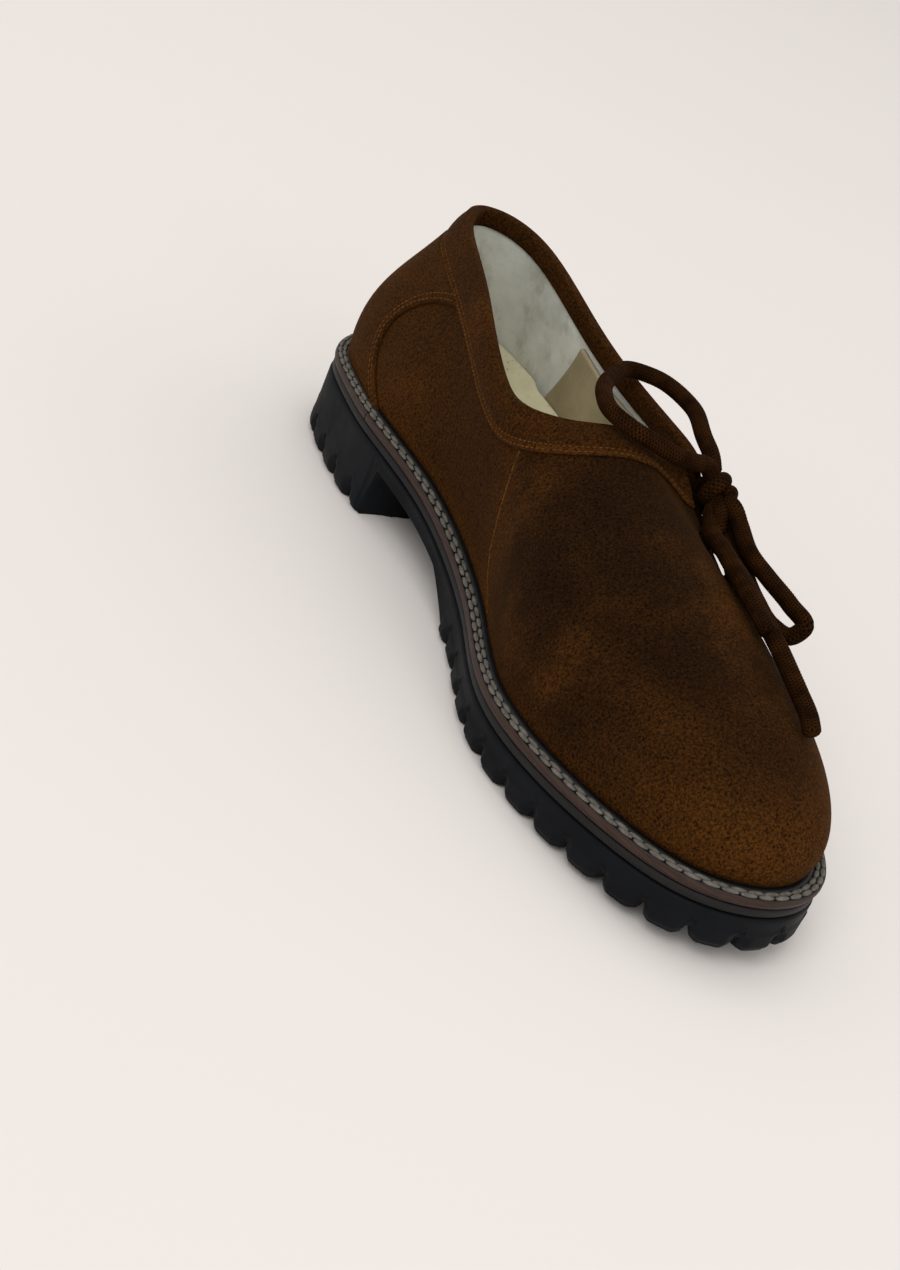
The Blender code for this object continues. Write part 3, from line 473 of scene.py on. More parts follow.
FOOTBED = Finish("cream footbed leather", Roughness=0.6)
cloud = FOOTBED.clouds(0.025, 4.0, (0.3, (0.49, 0.46, 0.28)), (0.7, (0.64, 0.60, 0.41)))
specks = FOOTBED.clouds(0.0022, 2.0, (0.30, 1.0), (0.36, 0.0))
FOOTBED.colour(FOOTBED.mix(specks, cloud, (0.30, 0.27, 0.17)))
FOOTBED.bump(FOOTBED.noise(0.0009), 0.0001)

BEIGE = Finish("beige tongue leather", Roughness=0.7)
BEIGE.colour(BEIGE.clouds(0.02, 4.0, (0.3, (0.23, 0.19, 0.105)), (0.7, (0.37, 0.31, 0.185))))
BEIGE.bump(BEIGE.noise(0.0012), 0.00018)

# %% [markdown]
# The rubber is dull black with slightly shinier patches. The welt is black leather, and its cut edge and the
# midsole show the layers of pressed leather, which stretched noise draws as lines round the sole.

# %% Rubber, welt and sole leather
RUBBER = Finish("black rubber", Specular_IOR_Level=0.10)
RUBBER.colour(RUBBER.clouds(0.03, 4.0, (0.3, (0.0028, 0.0034, 0.0044)), (0.7, (0.0062, 0.0076, 0.0098))))
RUBBER.wire(RUBBER.clouds(0.02, 4.0, (0.3, 0.5), (0.7, 0.72)), RUBBER.shader.inputs["Roughness"])
RUBBER.bump(RUBBER.noise(0.0007, 2.0), 0.00006)


def sole_leather(name, dark, middle, light):
    """The pared edge of pressed leather: thin layers that run round the sole."""
    made = Finish(name, Roughness=0.6, Specular_IOR_Level=0.25)
    layers = made.noise(0.010, 4.0, 0.6, stretch=(1.0, 1.0, 14.0))
    made.colour(made.ramp(layers, (0.3, dark), (0.5, middle), (0.75, light)))
    made.bump(layers, 0.0003)
    return made


SOLE_LEATHER = sole_leather(
    "brown sole leather", (0.019, 0.0092, 0.0062), (0.036, 0.0175, 0.0120), (0.056, 0.029, 0.021)
)
DARK_EDGE = sole_leather(
    "blackened sole leather", (0.0040, 0.0038, 0.0040), (0.0070, 0.0064, 0.0064), (0.012, 0.0100, 0.0092)
)
WELTING = Finish("black welt leather", Roughness=0.5, Specular_IOR_Level=0.3)
WELTING.colour(WELTING.clouds(0.02, 4.0, (0.35, (0.0035, 0.0037, 0.0045)), (0.75, (0.0110, 0.0115, 0.0135))))
WELTING.bump(WELTING.noise(0.0012), 0.0001)


# %% [markdown]
# Thread and lace are fibres, so they have almost no gloss. The lace's grooves are marked on its mesh, and the
# shader darkens them, because little light reaches between the strands of a braid.

# %% Thread and lace
def thread(name, dark, light, twist):
    """Waxed thread: two plies that show as a fine slanting twist."""
    made = Finish(name, Roughness=0.85, Specular_IOR_Level=0.10)
    made.colour(made.clouds(0.0022, 3.0, (0.3, dark), (0.7, light)))
    made.bump(made.noise(twist, 2.0), 0.0002)
    return made


WELT_THREAD = thread("grey welt thread", (0.085, 0.080, 0.068), (0.170, 0.158, 0.135), 0.0009)
SEAM_THREAD = thread("tan seam thread", (0.050, 0.0180, 0.0028), (0.150, 0.0570, 0.0090), 0.0005)
BRAID = Finish(
    "dark brown lace", Roughness=0.9, Sheen_Weight=0.02, Sheen_Roughness=0.4,
    Sheen_Tint=(0.80, 0.36, 0.10, 1.0), Specular_IOR_Level=0.04,
)
tone = BRAID.clouds(0.005, 4.0, (0.3, (0.0135, 0.0046, 0.0009)), (0.7, (0.046, 0.0160, 0.0026)))
BRAID.colour(BRAID.mix(BRAID.attribute("groove"), tone, (0.0010, 0.0004, 0.0002)))
BRAID.bump(BRAID.noise(0.0004, 2.0), 0.00008)

# %% [markdown]
# ## The lace
# The lace is a thick round braid. A braid is strands that wind both ways round a core and pass over and under each
# other, so its surface is a lattice of small bulges. A tube with a fine grid can hold those bulges as real relief.
# The bow is five stretches of one lace: the knot, two loops and two ends, with the bars of the lacing below.

# %% Routes of the lace
LACE_DIAMETER = 0.0056
MILLIMETRES = {
    "lace_loop_upper": [
        (31.7, -12.5, 78.3), (32.1, -7.9, 81.6), (33.1, 0.3, 83.8), (38.9, 20.4, 85.3), (34.8, 34.9, 85.8),
        (25.3, 38.4, 86.2), (9.4, 27.9, 87.0), (-2.9, 12.1, 88.2), (-7.5, -2.5, 89.0), (-4.3, -10.2, 88.6),
        (3.2, -14.4, 86.9), (10.7, -16.7, 84.9), (19.8, -15.5, 83.1), (27.8, -12.7, 80.6), (31.3, -15.0, 76.6),
    ],
    "lace_loop_lower": [
        (33.0, -21.0, 74.7), (34.2, -25.4, 73.9), (35.0, -30.5, 70.9), (34.2, -40.7, 67.4), (35.5, -51.4, 65.6),
        (37.4, -63.3, 63.9), (37.8, -72.4, 61.9), (35.7, -71.7, 58.1), (33.7, -64.2, 56.4), (33.5, -54.4, 57.9),
        (34.2, -45.8, 59.9), (35.8, -37.0, 63.1), (36.6, -28.5, 66.7), (35.2, -22.2, 70.6), (33.4, -17.6, 73.8),
    ],
    "lace_end_long": [
        (33.7, -17.6, 71.7), (35.2, -21.4, 67.8), (33.4, -26.8, 64.8), (30.3, -33.0, 64.0), (27.2, -41.0, 64.6),
        (24.0, -50.0, 65.7), (21.7, -60.0, 65.9), (20.1, -68.0, 65.5), (18.6, -77.0, 64.5), (17.6, -87.0, 62.8),
        (16.6, -96.0, 60.9), (16.0, -103.0, 59.2), (15.4, -111.0, 56.9), (13.8, -116.5, 55.0),
    ],
    "lace_end_short": [
        (31.6, -19.0, 72.2), (29.1, -23.0, 68.9), (26.7, -28.2, 67.2), (23.2, -35.3, 67.9), (20.6, -43.6, 69.1),
        (18.5, -51.7, 69.2), (17.0, -60.0, 68.8), (16.1, -68.0, 67.8), (15.6, -76.0, 66.3), (15.3, -82.0, 65.1),
    ],
}
ROUTES = {name: np.array(points) / 1000 for name, points in MILLIMETRES.items()}

KNOT_CENTRE = Vector((0.0317, -0.0164, 0.0748))
KNOT_TURNS, KNOT_RADIUS, KNOT_PITCH = 1.62, 0.0036, 0.0046


def knot_route():
    """The knot's wrap, a tight helix round the way that the bow's strands run."""
    axis = Vector((0.34, -0.78, -0.52)).normalized()
    side = axis.cross(Vector((0, 0, 1))).normalized()
    other = axis.cross(side)
    points = []
    for turned in KNOT_TURNS * (np.arange(49) / 48 - 0.5):
        ring = side * math.cos(2 * math.pi * turned) + other * math.sin(2 * math.pi * turned)
        points.append(tuple(KNOT_CENTRE + ring * KNOT_RADIUS + axis * (KNOT_PITCH * turned)))
    return points


ROUTES["lace_knot"] = knot_route()


# %% Helper: a smooth line through a route
def smooth_line(route, spacing):
    """Points a spacing apart on the smooth open curve through a route's own points."""
    route = np.asarray(route, float)
    run = run_of(route)
    curve = open_curve(route, run, np.linspace(0, run[-1], 60 * len(route)))
    length = run_of(curve)
    at = np.linspace(0, length[-1], max(4, round(length[-1] / spacing) + 1))
    return np.stack([np.interp(at, length, curve[:, axis]) for axis in range(3)], axis=1)


def moving_frames(line):
    """Two directions square to a line at each of its points, carried along it without a twist."""
    tangent = np.gradient(line, axis=0)
    tangent /= np.linalg.norm(tangent, axis=1)[:, None]
    side = np.cross(tangent[0], (0.3, 0.2, 1.0))
    sides = []
    for direction in tangent:
        side = side - direction * side.dot(direction)
        side = side / np.linalg.norm(side)
        sides.append(side)
    sides = np.array(sides)
    return sides, np.cross(tangent, sides)

# %% Helper: a braided cord
def braided_cord(name, route, diameter, pitch=0.0088, strands=8):
    """A closed mesh tube with the relief of a round braid, and its line. The grooves are marked for the colour."""
    line = smooth_line(route, 0.00036)
    side, other = moving_frames(line)
    rows, length = len(line), run_of(line)

    def bulge(row, angle):
        wound = 2 * np.pi * length[row] / pitch
        left, right = np.sin(strands / 2 * (angle + wound)), np.sin(strands / 2 * (angle - wound))
        return np.maximum(np.abs(left), np.abs(right))

    def form(u, v):
        row, angle = np.round(u * (rows - 1)).astype(int), 2 * np.pi * v
        ends = np.minimum(length[row], length[-1] - length[row])
        close = np.sqrt(np.clip(1 - (1 - np.clip(ends / 0.0014, 0, 1)) ** 2, 0.0, 1))
        radius = (diameter / 2 * close * (0.86 + 0.15 * bulge(row, angle)))[:, None]
        return line[row] + side[row] * radius * np.cos(angle)[:, None] + other[row] * radius * np.sin(angle)[:, None]

    def groove(u, v):
        row = np.round(u * (rows - 1)).astype(int)
        return np.clip((0.97 - bulge(row, 2 * np.pi * v)) * 3.6, 0, 1)

    return outwards(laid_grid(name, rows - 1, 48, form, groove=groove)), line


# %% The bow
for name, far_end in (
    ("lace_knot", "object"), ("lace_loop_upper", "object"), ("lace_loop_lower", "object"),
    ("lace_end_long", "bare"), ("lace_end_short", "bare"),
):
    mesh, line = braided_cord(name + "_braid", ROUTES[name], LACE_DIAMETER)
    piece = finish_piece(name + "_braid", mesh, [BRAID], "dark brown lace", name)

# %% [markdown]
# ## The sole's layers
# The outsole, the midsole and the footbed are plates of the same outline. Each is a cloth that starts at the middle
# line on top, runs out over the edge and down its side, and comes back to the middle line underneath. The outsole's
# underside is a height field: it is lifted into notches between the lugs at the edge and into channels across the
# tread, and for the arch between the heel and the forepart.

# %% Helper: a plate with the sole's outline
def paired_keys(u):
    """Keys for the shares u round the sole, so that u and 1 - u lie straight across from each other."""
    along = HEEL_ALONG + (TOE_ALONG - HEEL_ALONG) * (1 - np.cos(2 * np.pi * u)) / 2
    keys = np.where(u <= 0.5, key_at(along, False), key_at(along, True))
    return np.where(u < 1e-6, 0.0, np.where(u > 1 - 1e-6, 1.0, keys))


def sole_plate(name, columns, rows, top, foot=None, swell=None):
    """A plate from rows of (inset, share of the way to the middle line, share of the way down, rise).
    top(along) and foot(keys, along, inset) are its faces, and swell(down, keys) is added to the inset."""

    def form(u, v):
        inset, inward, down, rise = table_row(rows, v)

        def edge(keys):
            return outline(keys, inset if swell is None else inset + swell(down, keys))[0]

        keys, share = paired_keys(u), inward[:, None] / 2
        along, across = (edge(keys) * (1 - share) + edge(paired_keys(1 - u)) * share).T
        low = 0.0 if foot is None else foot(keys, along, inset)
        return place(along, across, top(along) * (1 - down) + low * down + rise)

    return outwards(laid_grid(name, columns, len(rows) - 1, form))

# %% Where the outsole's notches are
HEEL_BLOCK = 0.080
ARCH_THICK = 0.0065
LUG_HEIGHT = 0.0046
NOTCH_HEIGHT = 0.0036
LUG_ROUND = 0.0019
LUG_PITCH = 0.0145
NOTCH_DEEP = 0.0120
NOTCH_TOP = 0.0018


def arc_run(keys):
    """Lengths round the outline of the places with these keys."""
    return np.interp(keys, DENSE, RUN)


def notch_runs(start, end):
    """Lengths round the outline of the notches in a stretch, each in the middle of its share."""
    count = max(2, round((end - start) / LUG_PITCH))
    return start + (np.arange(count) + 0.5) / count * (end - start)


fore_notches = notch_runs(arc_run(key_at(0.5 * LENGTH, False)), arc_run(key_at(0.5 * LENGTH, True)))
heel_notches = notch_runs(arc_run(key_at(HEEL_BLOCK, True)) - RUN[-1], arc_run(key_at(HEEL_BLOCK, False)))
NOTCHES = np.mod(np.concatenate([fore_notches, heel_notches]), RUN[-1])
print(len(NOTCHES), "notches round the edge")


def from_notch(keys):
    """How far the places with these keys are from the nearest notch's middle line."""
    apart = np.abs(np.mod(arc_run(keys)[:, None] - NOTCHES[None, :] + RUN[-1] / 2, RUN[-1]) - RUN[-1] / 2)
    return apart.min(axis=1)


# %% Outsole
ARCH_ALONG = [0.0, HEEL_BLOCK, HEEL_BLOCK + 0.0015, 0.275 * LENGTH, 0.31 * LENGTH, 0.35 * LENGTH, 0.39 * LENGTH]
ARCH_ALONG += [0.43 * LENGTH, 0.497 * LENGTH, 0.5 * LENGTH, LENGTH]
ARCH_LIFT = [0.0, 0.0, 0.0] + [float(sole_top(along)) - ARCH_THICK for along in ARCH_ALONG[3:8]] + [0.001, 0.0, 0.0]
CHANNELS = np.concatenate([np.arange(0.165, 0.28, 0.0190), [0.024, 0.043, 0.062]])


def underside(keys, along, inset):
    """The rubber's lower face: arch, tread, edge notches and cross channels."""
    arch = np.interp(along, ARCH_ALONG, ARCH_LIFT)
    apart = from_notch(keys)
    slot = NOTCH_HEIGHT * (1 - smooth_step(NOTCH_TOP / 2 - 0.0003, NOTCH_TOP / 2 + 0.0008, apart))
    corner = LUG_ROUND * (1 - np.sqrt(np.clip(1 - (1 - np.clip((apart - NOTCH_TOP / 2) / 0.0042, 0, 1)) ** 2, 0, 1)))
    edge = 1 - smooth_step(0.0, 0.006, inset)
    lift = np.maximum(slot * (inset < NOTCH_DEEP), corner * edge)
    to_channel = np.abs(along[:, None] - CHANNELS[None, :]).min(axis=1)
    channel = 0.0036 * (1 - smooth_step(0.0012, 0.0022, to_channel)) * (inset > NOTCH_DEEP + 0.0005)
    return spring(along) + np.where(arch < 1e-3, np.maximum(lift, channel), arch)


def lug_swell(down, keys):
    """Rounds the lugs: they draw in towards each notch and under the foot."""
    near = 1 - smooth_step(0.0, 0.0032, from_notch(keys) - NOTCH_TOP / 2)
    along = np.interp(keys, DENSE, DENSE_POINTS[:, 0])
    tread = (along < HEEL_BLOCK) | (along > 0.5 * LENGTH)
    from_floor = (1 - down) * (sole_top(along) - spring(along))
    low = 1 - smooth_step(LUG_HEIGHT * 0.9, LUG_HEIGHT * 1.5, from_floor)
    step = 0.00045 * (1 - smooth_step(LUG_HEIGHT * 1.35, LUG_HEIGHT * 1.75, from_floor))
    under = 0.0011 * np.clip(1 - from_floor / 0.0022, 0, 1) ** 2
    waist = 0.0005 * np.sin(np.pi * down)
    return np.where(tread, 0.0013 * near * low - step + under, under) + waist * ~tread


SOLE_ROWS = [(0.014, 1.0, 0.0, 0.0), (0.014, 0.0, 0.0, 0.0), (0.0011, 0.0, 0.0, 0.0), (0.0003, 0.0, 0.0, -0.0003)]
SOLE_ROWS += [(0.0, 0.0, down, 0.0015 * down - 0.0003) for down in np.arange(1, 18) / 17]
SOLE_ROWS += [(0.0002, 0.0, 1.0, 0.0006), (0.0006, 0.0, 1.0, 0.0002)]
SOLE_ROWS += [(inset, 0.0, 1.0, 0.0) for inset in (0.0013, 0.003, 0.0118, 0.0126, 0.014)]
SOLE_ROWS += [(0.014, share, 1.0, 0.0) for share in (0.12, 0.30, 0.60, 1.0)]
outsole = sole_plate("moulded_outsole", 1400, SOLE_ROWS, sole_top, underside, lug_swell)
finish_piece("moulded_outsole", outsole, [RUBBER], "black rubber", "outsole")

# %% Midsole
MIDSOLE_ROWS = [
    (0.014, 1.0, 0.0, 0.0), (0.014, 0.0, 0.0, 0.0), (0.0014, 0.0, 0.0, 0.0), (0.0007, 0.0, 0.0, -0.0002),
    (0.0004, 0.0, 0.0, -0.0006), (0.0004, 0.0, 0.0, -0.0016), (0.0004, 0.0, 0.0, -0.0026),
    (0.0008, 0.0, 0.0, -0.0030), (0.0014, 0.0, 0.0, -0.0032), (0.014, 0.0, 0.0, -0.0032),
    (0.014, 1.0, 0.0, -0.0032),
]
midsole = sole_plate("leather_midsole", 500, MIDSOLE_ROWS, midsole_top)
finish_piece("leather_midsole", midsole, [DARK_EDGE], "brown sole leather", "midsole")

# %% [markdown]
# ## The footbed
# The footbed is cream leather over a soft cushion. It is thick under the heel and the arch and turns up a little
# where it meets the lining. Its edge is found on the inside of the upper's wall, so it fits without a gap.

# %% Footbed
BOARD_INSET = 0.0083
FOOTBED_ROWS = [
    # share of the way from the wall to the middle line, rise over the top, and 0 on top or 1 underneath
    (1.0, 0.0004, 0), (0.6, 0.0006, 0), (0.3, 0.0014, 0), (0.14, 0.0028, 0), (0.06, 0.0042, 0), (0.02, 0.0050, 0),
    (0.0, 0.0046, 0), (0.0, -0.0010, 0), (0.0, 0.0, 1), (0.5, 0.0, 1), (1.0, 0.0, 1),
]


def footbed_top(along):
    """The footbed's top: thick under the heel and the arch, and thin under the ball and the toes."""
    thinner = (INSOLE_THICK - INSOLE_HEEL) * smooth_step(0.350, 0.500, along / LENGTH)
    return midsole_top(along) + GAP + INSOLE_HEEL + thinner


def footbed_edge(keys, height):
    """Points beside the lining at the keys and heights, with room for the tongue on the outer side."""
    along = np.interp(keys, DENSE, DENSE_POINTS[:, 0]) / LENGTH
    by_tongue = (keys > DENSE[TOE_INDEX]) * smooth_step(0.20, 0.23, along)
    room = -(UPPER_WALL + 0.0004 + 0.0030 * by_tongue)
    lines = off_wall(keys[:, None], np.linspace(0, 0.5, 33)[None, :], room[:, None])
    return np.array([[np.interp(z, line[:, 2], line[:, axis]) for axis in range(3)] for z, line in zip(height, lines)])


def footbed_form(u, v):
    inward, rise, under = table_row(FOOTBED_ROWS, v)
    keys, share = paired_keys(u), inward[:, None] / 2
    along = np.interp(keys, DENSE, DENSE_POINTS[:, 0])

    def edge(keys):
        board = outline(keys, BOARD_INSET)[0]
        board = place(board[:, 0], board[:, 1], midsole_top(along) + GAP)
        return np.where(under[:, None] > 0, board, footbed_edge(keys, footbed_top(along) + rise))

    return edge(keys) * (1 - share) + edge(paired_keys(1 - u)) * share


footbed = outwards(laid_grid("cream_footbed", 240, len(FOOTBED_ROWS) - 1, footbed_form))
finish_piece("cream_footbed", footbed, [FOOTBED], "cream footbed leather", "insole")

# %% [markdown]
# ## The welt
# The welt is the strip of leather that runs round the foot of the upper. It is one strip round the forepart and one
# round the heel, which meet in a butt joint on each side. Its profile is swept round the outline, and its ends are
# closed with the operator that fills holes.

# %% Welt strips
WELT_PROFILE = [
    # inset from the outline, and height over the welt's top
    (0.0005, -0.0036), (0.0001, -0.0033), (-0.0002, -0.0022), (-0.0001, -0.0009), (0.0001, -0.0005), (0.0004, -0.0004),
    (0.0010, -0.0007), (0.0019, -0.0005), (0.0028, -0.0007), (0.0037, -0.0004), (0.0040, 0.0001), (0.0048, 0.0001),
    (0.0056, -0.0001), (0.0079, -0.0002), (0.0079, -0.0036), (0.0005, -0.0036),
]
JOINT_INNER = float(key_at(0.218 * LENGTH, False))
JOINT_OUTER = float(key_at(0.218 * LENGTH, True))
HALF_JOINT = 0.00035 / RUN[-1]


def welt_strip(name, start, end, columns):
    def form(u, v):
        inset, rise = table_row(WELT_PROFILE, v)
        along, across = outline(start + (end - start) * u, inset)[0].T
        return place(along, across, welt_height(along) + rise)

    mesh = laid_grid(name, columns, len(WELT_PROFILE) - 1, form)
    strip = bmesh.new()
    strip.from_mesh(mesh)
    bmesh.ops.holes_fill(strip, edges=[edge for edge in strip.edges if edge.is_boundary])
    bmesh.ops.recalc_face_normals(strip, faces=strip.faces)
    strip.to_mesh(mesh)
    strip.free()
    for face in mesh.polygons:
        if face.normal.z < 0.6 and outline_distance(face.center) < 0.0012:
            face.material_index = 1
    return mesh


def outline_distance(point):
    """How far a point is from the sole's edge, seen from above."""
    spot = np.array([MIDDLE_ALONG - point[1], point[0] + MIDDLE_ACROSS])
    return float(np.linalg.norm(DENSE_POINTS - spot, axis=1).min())


forepart = welt_strip("welt_strip_forepart", JOINT_INNER + HALF_JOINT, JOINT_OUTER - HALF_JOINT, 700)
finish_piece("welt_strip_forepart", forepart, [WELTING, SOLE_LEATHER], "black welt leather", "welt_forepart")
heel = welt_strip("welt_strip_heel", JOINT_OUTER + HALF_JOINT - 1, JOINT_INNER - HALF_JOINT, 260)
finish_piece("welt_strip_heel", heel, [WELTING, SOLE_LEATHER], "black welt leather", "welt_heel")


# %% [markdown]
# ## Stitches
# A stitch is a short length of thread that dives into the leather at both ends, so it shows as a long bead. All the
# stitches of one seam are one mesh: a ball of few faces for each stitch, stretched along the seam.

# %% Helper: a run of stitches
def stitches(name, places, length, width, height, finish, slot, sides=8):
    """Joined beads at places of (point, direction of the seam, outward normal)."""
    seam = bmesh.new()
    for point, way, normal in places:
        way = Vector(way).normalized()
        normal = Vector(normal)
        normal = (normal - way * normal.dot(way)).normalized()
        turned = Matrix((way, normal.cross(way), normal)).transposed().to_4x4()
        shape = Matrix.Diagonal((length / 2, width / 2, height / 2, 1.0))
        bmesh.ops.create_uvsphere(
            seam, u_segments=sides, v_segments=5, radius=1.0,
            matrix=Matrix.Translation(point) @ turned @ shape @ Matrix.Rotation(math.pi / 2, 4, "Y"),
        )
    print(f"{name}: {len(places)} stitches")
    return finish_piece(name, new_mesh(name, seam), [finish], slot)


# %% [markdown]
# Two rows of thick waxed thread run along the welt, half a stitch out of step, so that they touch like a plait.

# %% Welt stitches
def welt_seam(inset, shift, pitch=0.0057):
    """Places of one row of welt stitches, a pitch apart and shifted by a share of it."""
    count = round(RUN[-1] / pitch)
    keys = np.interp((np.arange(count) + shift) / count * RUN[-1], RUN, DENSE)

    def spots(keys):
        along, across = outline(keys, inset)[0].T
        return place(along, across, welt_height(along) - 0.0002)

    points = spots(keys)
    return [(point, way, (0, 0, 1)) for point, way in zip(points, spots(keys + 1e-3) - points)]


stitches(
    "welt_stitching", welt_seam(0.0012, 0.0) + welt_seam(0.00285, 0.5),
    0.0053, 0.00175, 0.0013, WELT_THREAD, "black welt leather",
)

# %% [markdown]
# ## The upper
# The upper is one sheet of suede pulled over the last. Its outer face is the surface of the meridians, with soft
# troughs where the foot bends, and a Solidify modifier gives it its wall, with the white lining on the inside. The
# lacing slit and its holes are then cut through the wall by a Boolean, as a punch and a knife would.

# %% Sizes of the lacing
SLIT_KEY = float(key_at(0.640 * LENGTH, True))
SLIT_TOP, SLIT_FOOT, SLIT_FOOT_SHARE = 0.0095, 0.0060, 0.26
HOLE_ROWS, HOLE_DIAMETER, HOLE_SETBACK = (0.70, 0.53, 0.36), 0.0070, 0.0062
LACE_BEND, LACE_STUB = 0.0036, 0.0011


def slit_frame(share, sideways=0.0, distance=0.0):
    """A point by the slit: up the wall by its share, sideways along it (front negative) and off it."""
    along_wall = wall(SLIT_KEY + 1e-3, share) - wall(SLIT_KEY - 1e-3, share)
    key = SLIT_KEY + sideways / (np.linalg.norm(along_wall) / 2e-3)
    return Vector(off_wall(key, share, distance)), Vector(wall_normal(np.array(key), np.array(share)))


def hole_side(share, front):
    """How far a lace hole lies from the slit's middle, with its sign."""
    half = (SLIT_FOOT + (SLIT_TOP - SLIT_FOOT) * (share - SLIT_FOOT_SHARE) / (1 - SLIT_FOOT_SHARE)) / 2
    return (-1 if front else 1) * (half + HOLE_SETBACK)


# %% [markdown]
# The creases are listed one by one: each is a soft valley or ridge along a line on the vamp, less than a millimetre
# deep.
# The side seam is a narrow groove, with the front edge of the leather a little proud of the rear one.

# %% Helper: soft creases
def trough(keys, shares, start, end, width, depth):
    """A soft valley along a line between two (key, share) places, in metres off the wall."""
    scale = np.array([RUN[-1] * 0.75, 0.085])
    a, b = np.array(start) * scale, np.array(end) * scale
    spot = np.stack([keys, shares], axis=-1) * scale
    along = np.clip(((spot - a) @ (b - a)) / ((b - a) @ (b - a)), 0, 1)
    apart = np.linalg.norm(spot - (a + along[..., None] * (b - a)), axis=-1)
    fade = np.sin(np.pi * np.clip(along * 0.9 + 0.05, 0, 1))
    return -depth * np.exp(-((apart / width) ** 2)) * (0.35 + 0.65 * fade)


CREASES = [
    # from (key, share) to (key, share), half width, and depth, which is negative for a ridge
    ((0.395, 0.50), (0.455, 0.46), 0.007, 0.0007), ((0.415, 0.34), (0.475, 0.42), 0.006, 0.0006),
    ((0.41, 0.42), (0.47, 0.44), 0.005, -0.0004), ((0.30, 0.55), (0.335, 0.30), 0.008, 0.0005),
    ((0.545, 0.45), (0.60, 0.40), 0.006, 0.0006),
]


def vamp_creases(keys, shares):
    """The dents of the vamp, and the ridge between them."""
    return sum(trough(keys, shares, *crease) for crease in CREASES)


SIDE_SEAM = [
    # key, share: the seam between the vamp and the quarter on the inner side, from the band to the welt
    (0.2725, 0.86), (0.2708, 0.819), (0.2633, 0.669), (0.2583, 0.525), (0.2542, 0.400), (0.2525, 0.300),
    (0.2517, 0.188), (0.2558, 0.106), (0.2642, 0.044), (0.2750, 0.0),
]
SEAM_SHARES = np.array([share for _, share in SIDE_SEAM])[::-1]
SEAM_KEYS = np.array([key for key, _ in SIDE_SEAM])[::-1]
INNER_SCALE = float(np.linalg.norm(wall(0.261, 0.5) - wall(0.259, 0.5)) / 0.002)


def side_seam(keys, shares):
    """A butted seam: the front edge lies a little over the rear one."""
    across = (keys - np.interp(shares, SEAM_SHARES, SEAM_KEYS)) * INNER_SCALE
    groove = -0.00045 * np.exp(-((across / 0.0007) ** 2))
    lip = 0.00035 * np.where(across > 0, np.exp(-across / 0.004), 0.0) * (np.abs(keys - 0.26) < 0.05)
    return (groove * (np.abs(keys - 0.26) < 0.05) + lip) * (shares < 0.9)


# %% Upper
def upper_form(u, v):
    shares = v ** 0.95
    return off_wall(u, shares, vamp_creases(u, shares) + side_seam(u, shares))


def brushed(u, v):
    """Where the nap is painted lighter, as worn nap and as painted highlight: the toe, the foot of the wall, the heel,
    the quarters, and beside the side seam.
    """
    toe = np.exp(-(((u - 0.485) / 0.075) ** 2)) * np.exp(-(((v - 0.13) / 0.16) ** 2))
    crown = 0.35 * np.exp(-(((u - 0.44) / 0.05) ** 2)) * np.exp(-(((v - 0.36) / 0.07) ** 2))
    foot = 0.5 * np.exp(-((v / 0.06) ** 2))
    heel = 0.35 * (np.exp(-((u / 0.10) ** 2)) + np.exp(-(((1 - u) / 0.10) ** 2)))
    seam = 0.3 * np.exp(-(((u - 0.262) / 0.014) ** 2)) * (v < 0.8)
    quarter = 0.36 * smooth_step(0.30, 0.24, u) + 0.36 * smooth_step(0.72, 0.78, u)
    return np.clip(toe + crown + foot + heel + seam + quarter, 0, 1)


upper_mesh = laid_grid("suede_upper", 520, 60, upper_form, brushed=brushed)
upper = finish_piece("suede_upper", upper_mesh, [SUEDE, LINING], "dark brown suede", "upper")
add_solid(upper, UPPER_WALL, -1, inner=1)


def punch(name, shape):
    """A cutter, which is taken away after the cut."""
    bmesh.ops.recalc_face_normals(shape, faces=shape.faces)
    return new_object(name, new_mesh(name, shape, smooth=False))


def cut_through(body, cutter):
    cut = body.modifiers.new(cutter.name, "BOOLEAN")
    cut.operation, cut.solver, cut.object = "DIFFERENCE", "EXACT", cutter


# %% [markdown]
# The slit is cut by a blade-shaped solid that is wide at the rim and round at its foot, and the holes by round
# punches. A Boolean is the right tool here, because the cut edge then shows the true thickness of the leather.

# %% The knife and the punches
middle, slit_out = slit_frame((1 + SLIT_FOOT_SHARE) / 2)
slit_up = slit_frame(0.98)[0] - slit_frame(SLIT_FOOT_SHARE)[0]
slit_up = (slit_up - slit_out * slit_up.dot(slit_out)).normalized()
slit_side = slit_out.cross(slit_up)
slit_bottom = (slit_frame(SLIT_FOOT_SHARE)[0] - middle).dot(slit_up)
slit_head = (slit_frame(1.0)[0] - middle).dot(slit_up) + 0.02
knife = bmesh.new()
disc = bmesh.ops.create_circle(knife, cap_ends=True, segments=24, radius=SLIT_FOOT / 2)["verts"]
for vert in disc:
    x, y = vert.co.x, vert.co.y
    if y > 1e-5:
        half = SLIT_TOP / 2 * np.sign(x) * min(1.0, abs(x) / (SLIT_FOOT / 2) * 1.35)
        vert.co = middle + slit_side * half + slit_up * slit_head - slit_out * 0.016
    else:
        vert.co = middle + slit_side * x + slit_up * (slit_bottom + SLIT_FOOT / 2 + y) - slit_out * 0.016
grown = bmesh.ops.extrude_face_region(knife, geom=list(knife.faces))["geom"]
bmesh.ops.translate(knife, verts=[g for g in grown if isinstance(g, bmesh.types.BMVert)], vec=slit_out * 0.032)
knife_object = punch("slit_knife", knife)
punches = bmesh.new()
